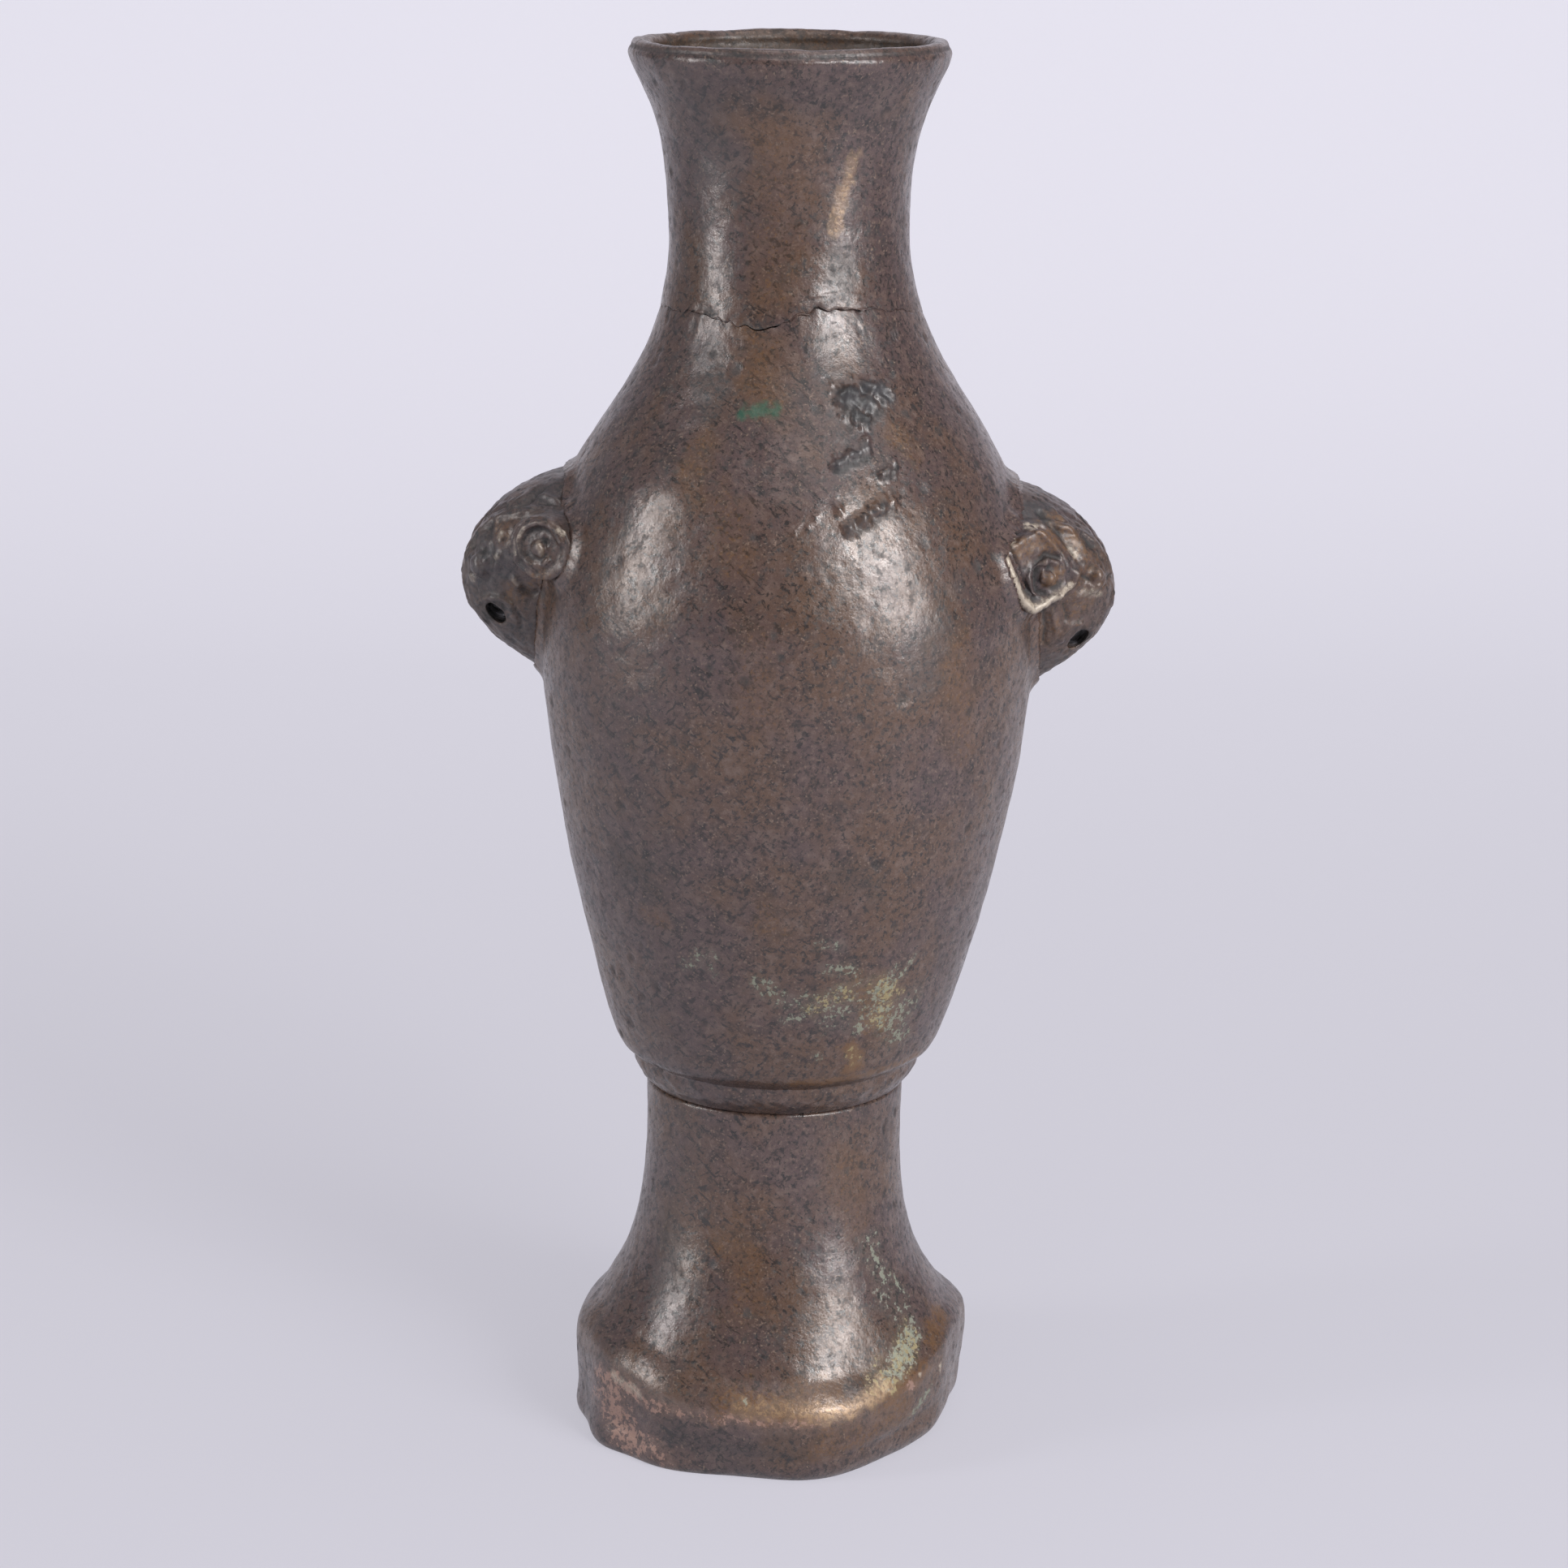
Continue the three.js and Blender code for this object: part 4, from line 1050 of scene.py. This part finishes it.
def bronze(name, kinds, tone=(1, 1, 1, 1), gloss=0.25, metal=0.12):
    """Patinated bronze: mottled browns, grains of worn metal, verdigris and dirt, with painted highlights
    and painted shade, where the marks are.
    """
    shader = Shader(name)
    large = shader.noise(15, 4.0, 0.6)
    middle = shader.noise(3.0, 5.0, 0.65)
    fine = shader.noise(0.9, 5.0, 0.7)
    speck = shader.noise(0.32, 2.0, 0.5)
    rising = shader.noise(0.5, 3.0, 0.6, shader.place((1, 1, 3.5), (0.7, 0.7, 0)), 0.5)
    falling = shader.noise(0.6, 3.0, 0.6, shader.place((1, 1, 4), (-0.5, -0.9, 0)), 0.5)

    colour = shader.mix(shader.step(large, 0.40, 0.62), MAUVE, RUSSET)
    colour = shader.mix(shader.step(middle, 0.50, 0.68, 0.0, 0.7), colour, UMBER)
    colour = shader.mix(shader.step(middle, 0.47, 0.33, 0.0, 0.45), colour, PALE_BROWN)
    colour = shader.mix(shader.step(rising, 0.55, 0.64, 0.0, 0.8), colour, SOOT_AND_SHADE)
    colour = shader.mix(shader.step(falling, 0.56, 0.65, 0.0, 0.8), colour, SOOT_AND_SHADE)
    colour = shader.mix(shader.step(fine, 0.53, 0.66, 0.0, 0.55), colour, PALE_BROWN)
    colour = shader.mix(shader.step(fine, 0.47, 0.35, 0.0, 0.7), colour, SOOT_AND_SHADE)
    glints = shader.math("MULTIPLY", shader.step(speck, 0.56, 0.72, 0.0, 0.7), shader.step(middle, 0.4, 0.6))
    colour = shader.mix(glints, colour, GLINT)
    colour = shader.mix(1.0, colour, tone, "MULTIPLY")

    metallic, crust = metal, 0.0
    for kind in kinds:
        paint, strength, grained, size, bare, dullness = MARKS[kind]
        cover = shader.math("MULTIPLY", broken(shader, kind, grained, size), strength)
        colour = shader.mix(cover, colour, paint)
        metallic = shader.blend(cover, metallic, bare)
        crust = shader.blend(cover, crust, dullness)

    roughness = shader.step(middle, 0.3, 0.7, gloss - 0.04, gloss + 0.08)
    roughness = shader.math("ADD", roughness, shader.step(fine, 0.5, 0.35, 0.0, 0.2))
    roughness = shader.math("ADD", roughness, crust, clamp=True)

    height = shader.math("MULTIPLY", middle, 0.8)
    for layer, share in ((fine, 0.5), (speck, 0.18), (crust, 1.0)):
        height = shader.math("ADD", height, shader.math("MULTIPLY", layer, share))
    bump = shader.node("ShaderNodeBump")
    bump.inputs["Distance"].default_value = 0.09 * MM
    bump.inputs["Strength"].default_value = 1.0
    shader.feed(bump.inputs["Height"], height)

    surface = shader.node("ShaderNodeBsdfPrincipled")
    shader.feed(surface.inputs["Base Color"], colour)
    shader.feed(surface.inputs["Roughness"], roughness)
    shader.feed(surface.inputs["Metallic"], metallic)
    surface.inputs["Specular IOR Level"].default_value = 1.0
    shader.feed(surface.inputs["Normal"], bump.outputs[0])
    output = shader.node("ShaderNodeOutputMaterial")
    shader.feed(output.inputs["Surface"], surface.outputs[0])
    return shader.material


# Floor, backdrop and light
STAGE_NEAR = (0.22, 0.215, 0.24, 1)
STAGE_FAR = (0.56, 0.55, 0.60, 1)
# Added to the sheet's brightness where it is looked at, near and far; it casts no light
GLOW_NEAR = 0.47
GLOW_FAR = 0.52
GLOW_TINT = (0.97, 0.95, 1.06, 1)
SIDES = 0.45  # brightness of the sheet far to the left and right, as a share of its middle
LAMPS_AIM = Vector((0, 0, 0.1))
# Rims round a softbox: how much wider, how much taller, and their share of its brightness
RIMS = [(1.8, 1.12, 0.18), (2.8, 1.25, 0.07)]
RIM_BACK = 0.005  # how far a rim stands behind the softbox


def backdrop():
    """One seamless sheet: a floor that curves up into a wall far behind the vase."""
    half_width = 1.6
    near, far, bend, top = -0.7, 0.9, 0.5, 1.4
    profile = [(near, 0.0), (0.0, 0.0), (far - bend, 0.0)]
    for i in range(1, 17):
        angle = math.pi / 2 * i / 16
        profile.append((far - bend + bend * math.sin(angle), bend - bend * math.cos(angle)))
    profile.append((far, top))
    points = [(x, y, z) for x in (-half_width, half_width) for y, z in profile]
    count = len(profile)
    faces = [(i, i + count, i + count + 1, i + 1) for i in range(count - 1)]
    mesh = bpy.data.meshes.new("backdrop")
    mesh.from_pydata(points, [], faces)
    mesh.shade_smooth()
    sheet = bpy.data.objects.new("backdrop", mesh)
    bpy.context.scene.collection.objects.link(sheet)
    shader = Shader("backdrop_paper")
    surface = shader.node("ShaderNodeBsdfPrincipled")
    where = shader.node("ShaderNodeSeparateXYZ")
    shader.feed(where.inputs[0], shader.node("ShaderNodeTexCoord").outputs["Object"])
    behind = shader.step(where.outputs[1], 0.0, 0.8)
    aside = shader.step(shader.math("ABSOLUTE", where.outputs[0]), 0.35, 1.0, 1.0, SIDES)
    paper = shader.mix(behind, STAGE_NEAR, STAGE_FAR)
    shader.feed(surface.inputs["Base Color"], shader.mix(1.0, paper, aside, "MULTIPLY"))
    rays = shader.node("ShaderNodeLightPath")
    seen = shader.math("MAXIMUM", rays.outputs["Is Camera Ray"], rays.outputs["Is Glossy Ray"])
    shown = shader.math("MAXIMUM", seen, rays.outputs["Is Transmission Ray"])
    far_away = shader.step(where.outputs[1], 0, 0.85, GLOW_NEAR, GLOW_FAR)
    surface.inputs["Emission Color"].default_value = GLOW_TINT
    glow = shader.math("MULTIPLY", far_away, aside)
    shader.feed(surface.inputs["Emission Strength"], shader.math("MULTIPLY", glow, shown))
    surface.inputs["Roughness"].default_value = 0.9
    surface.inputs["Specular IOR Level"].default_value = 0.1
    output = shader.node("ShaderNodeOutputMaterial")
    shader.feed(output.inputs["Surface"], surface.outputs[0])
    mesh.materials.append(shader.material)


def softbox(name, azimuth, distance, centre_z, size, radiance, lean=0):
    """A rectangular lamp round the vase, of the given brightness, whose upper end leans to the left."""
    turn = math.radians(azimuth)
    at = Vector((distance * math.sin(turn), -distance * math.cos(turn), centre_z))
    lamp = bpy.data.lights.new(name, "AREA")
    lamp.shape = "RECTANGLE"
    lamp.size, lamp.size_y = size
    lamp.energy = radiance * math.pi * size[0] * size[1]
    made = bpy.data.objects.new(name, lamp)
    made.location = at
    made.rotation_euler = (LAMPS_AIM - at).to_track_quat("-Z", "Y").to_euler()
    made.rotation_euler.rotate_axis("Z", math.radians(lean))
    bpy.context.scene.collection.objects.link(made)


def soft_edged(name, azimuth, distance, centre_z, size, radiance, lean=0):
    """A softbox with a bright middle and a dim rim round it."""
    softbox(name, azimuth, distance, centre_z, size, radiance, lean)
    for number, (wider, taller, share) in enumerate(RIMS):
        rim = (size[0] * wider, size[1] * taller)
        softbox(f"{name}_rim_{number}", azimuth, distance + RIM_BACK, centre_z, rim, radiance * share, lean)


def camera():
    forward = Vector((0, math.cos(CAMERA_TILT), -math.sin(CAMERA_TILT)))
    level = Vector((1, 0, 0))
    upright = Vector((0, math.sin(CAMERA_TILT), math.cos(CAMERA_TILT)))
    right = math.cos(CAMERA_ROLL) * level + math.sin(CAMERA_ROLL) * upright
    up = math.cos(CAMERA_ROLL) * upright - math.sin(CAMERA_ROLL) * level
    lens = bpy.data.cameras.new("camera")
    lens.sensor_width = SENSOR
    lens.lens = FOCAL_PX / PHOTO_SIZE * SENSOR
    lens.clip_start = 0.01
    made = bpy.data.objects.new("camera", lens)
    made.matrix_world = Matrix.LocRotScale(CAMERA_AT, Matrix((right, up, -forward)).transposed(), None)
    bpy.context.scene.collection.objects.link(made)
    bpy.context.scene.camera = made


def light():
    soft_edged("left_softbox", -72, 0.62, 0.26, (0.075, 0.40), 10.5)
    soft_edged("right_softbox", 50, 0.62, 0.24, (0.11, 0.36), 10.0, lean=12)
    soft_edged("upper_softbox", 37, 0.62, 0.44, (0.14, 0.20), 14.5, lean=15)
    softbox("top_softbox", 30, 0.20, 0.95, (0.8, 0.8), 1.0)
    world = bpy.data.worlds.new("studio")
    world.use_nodes = True
    sky = world.node_tree.nodes["Background"]
    sky.inputs["Color"].default_value = (0.88, 0.86, 0.94, 1)
    sky.inputs["Strength"].default_value = 0.22
    bpy.context.scene.world = world


def dress(made, node_name, material):
    made.data.materials.append(material)
    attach(made, "root")
    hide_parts(node_name)


camera()
light()
backdrop()

COOL = (0.80, 0.84, 0.90, 1)
mask_bronze = bronze("mask_bronze", ("wear_and_sheen", "slate_and_shade", "ochre", "painted_glint", "dark"), COOL, gloss=0.36)
mask_left = mask_skin("mask_left", "handle_left", -1, 0, LEFT_RELIEF, LEFT_MARKS)
mask_right = mask_skin("mask_right", "handle_right", 1, 0.65, RIGHT_RELIEF, RIGHT_MARKS)
dress(mask_left, "handle_left", mask_bronze)
dress(mask_right, "handle_right", mask_bronze)
neck_bronze = bronze("neck_bronze", ("wear_and_sheen", "slate_and_shade", "ochre", "gold_wear_and_sheen", "dark"))
dress(neck_skin(), "neck", neck_bronze)
body_bronze = bronze("body_bronze", ("slate_and_shade", "ochre", "straw", "green", "jade", "dark"), gloss=0.26)
dress(body_skin([mask_left, mask_right]), "body", body_bronze)
FOOT_KINDS = ("wear_and_sheen", "ochre", "straw", "gold_wear_and_sheen", "copper_and_glint", "green", "painted_glint", "dark")
foot_bronze = bronze("foot_bronze", FOOT_KINDS)
dress(foot_skin(), "foot", foot_bronze)
dress(plate_skin(), "base_plate", bronze("plate_bronze", (), gloss=0.5, metal=0.2))

scene = bpy.context.scene
scene.view_settings.view_transform = "Standard"
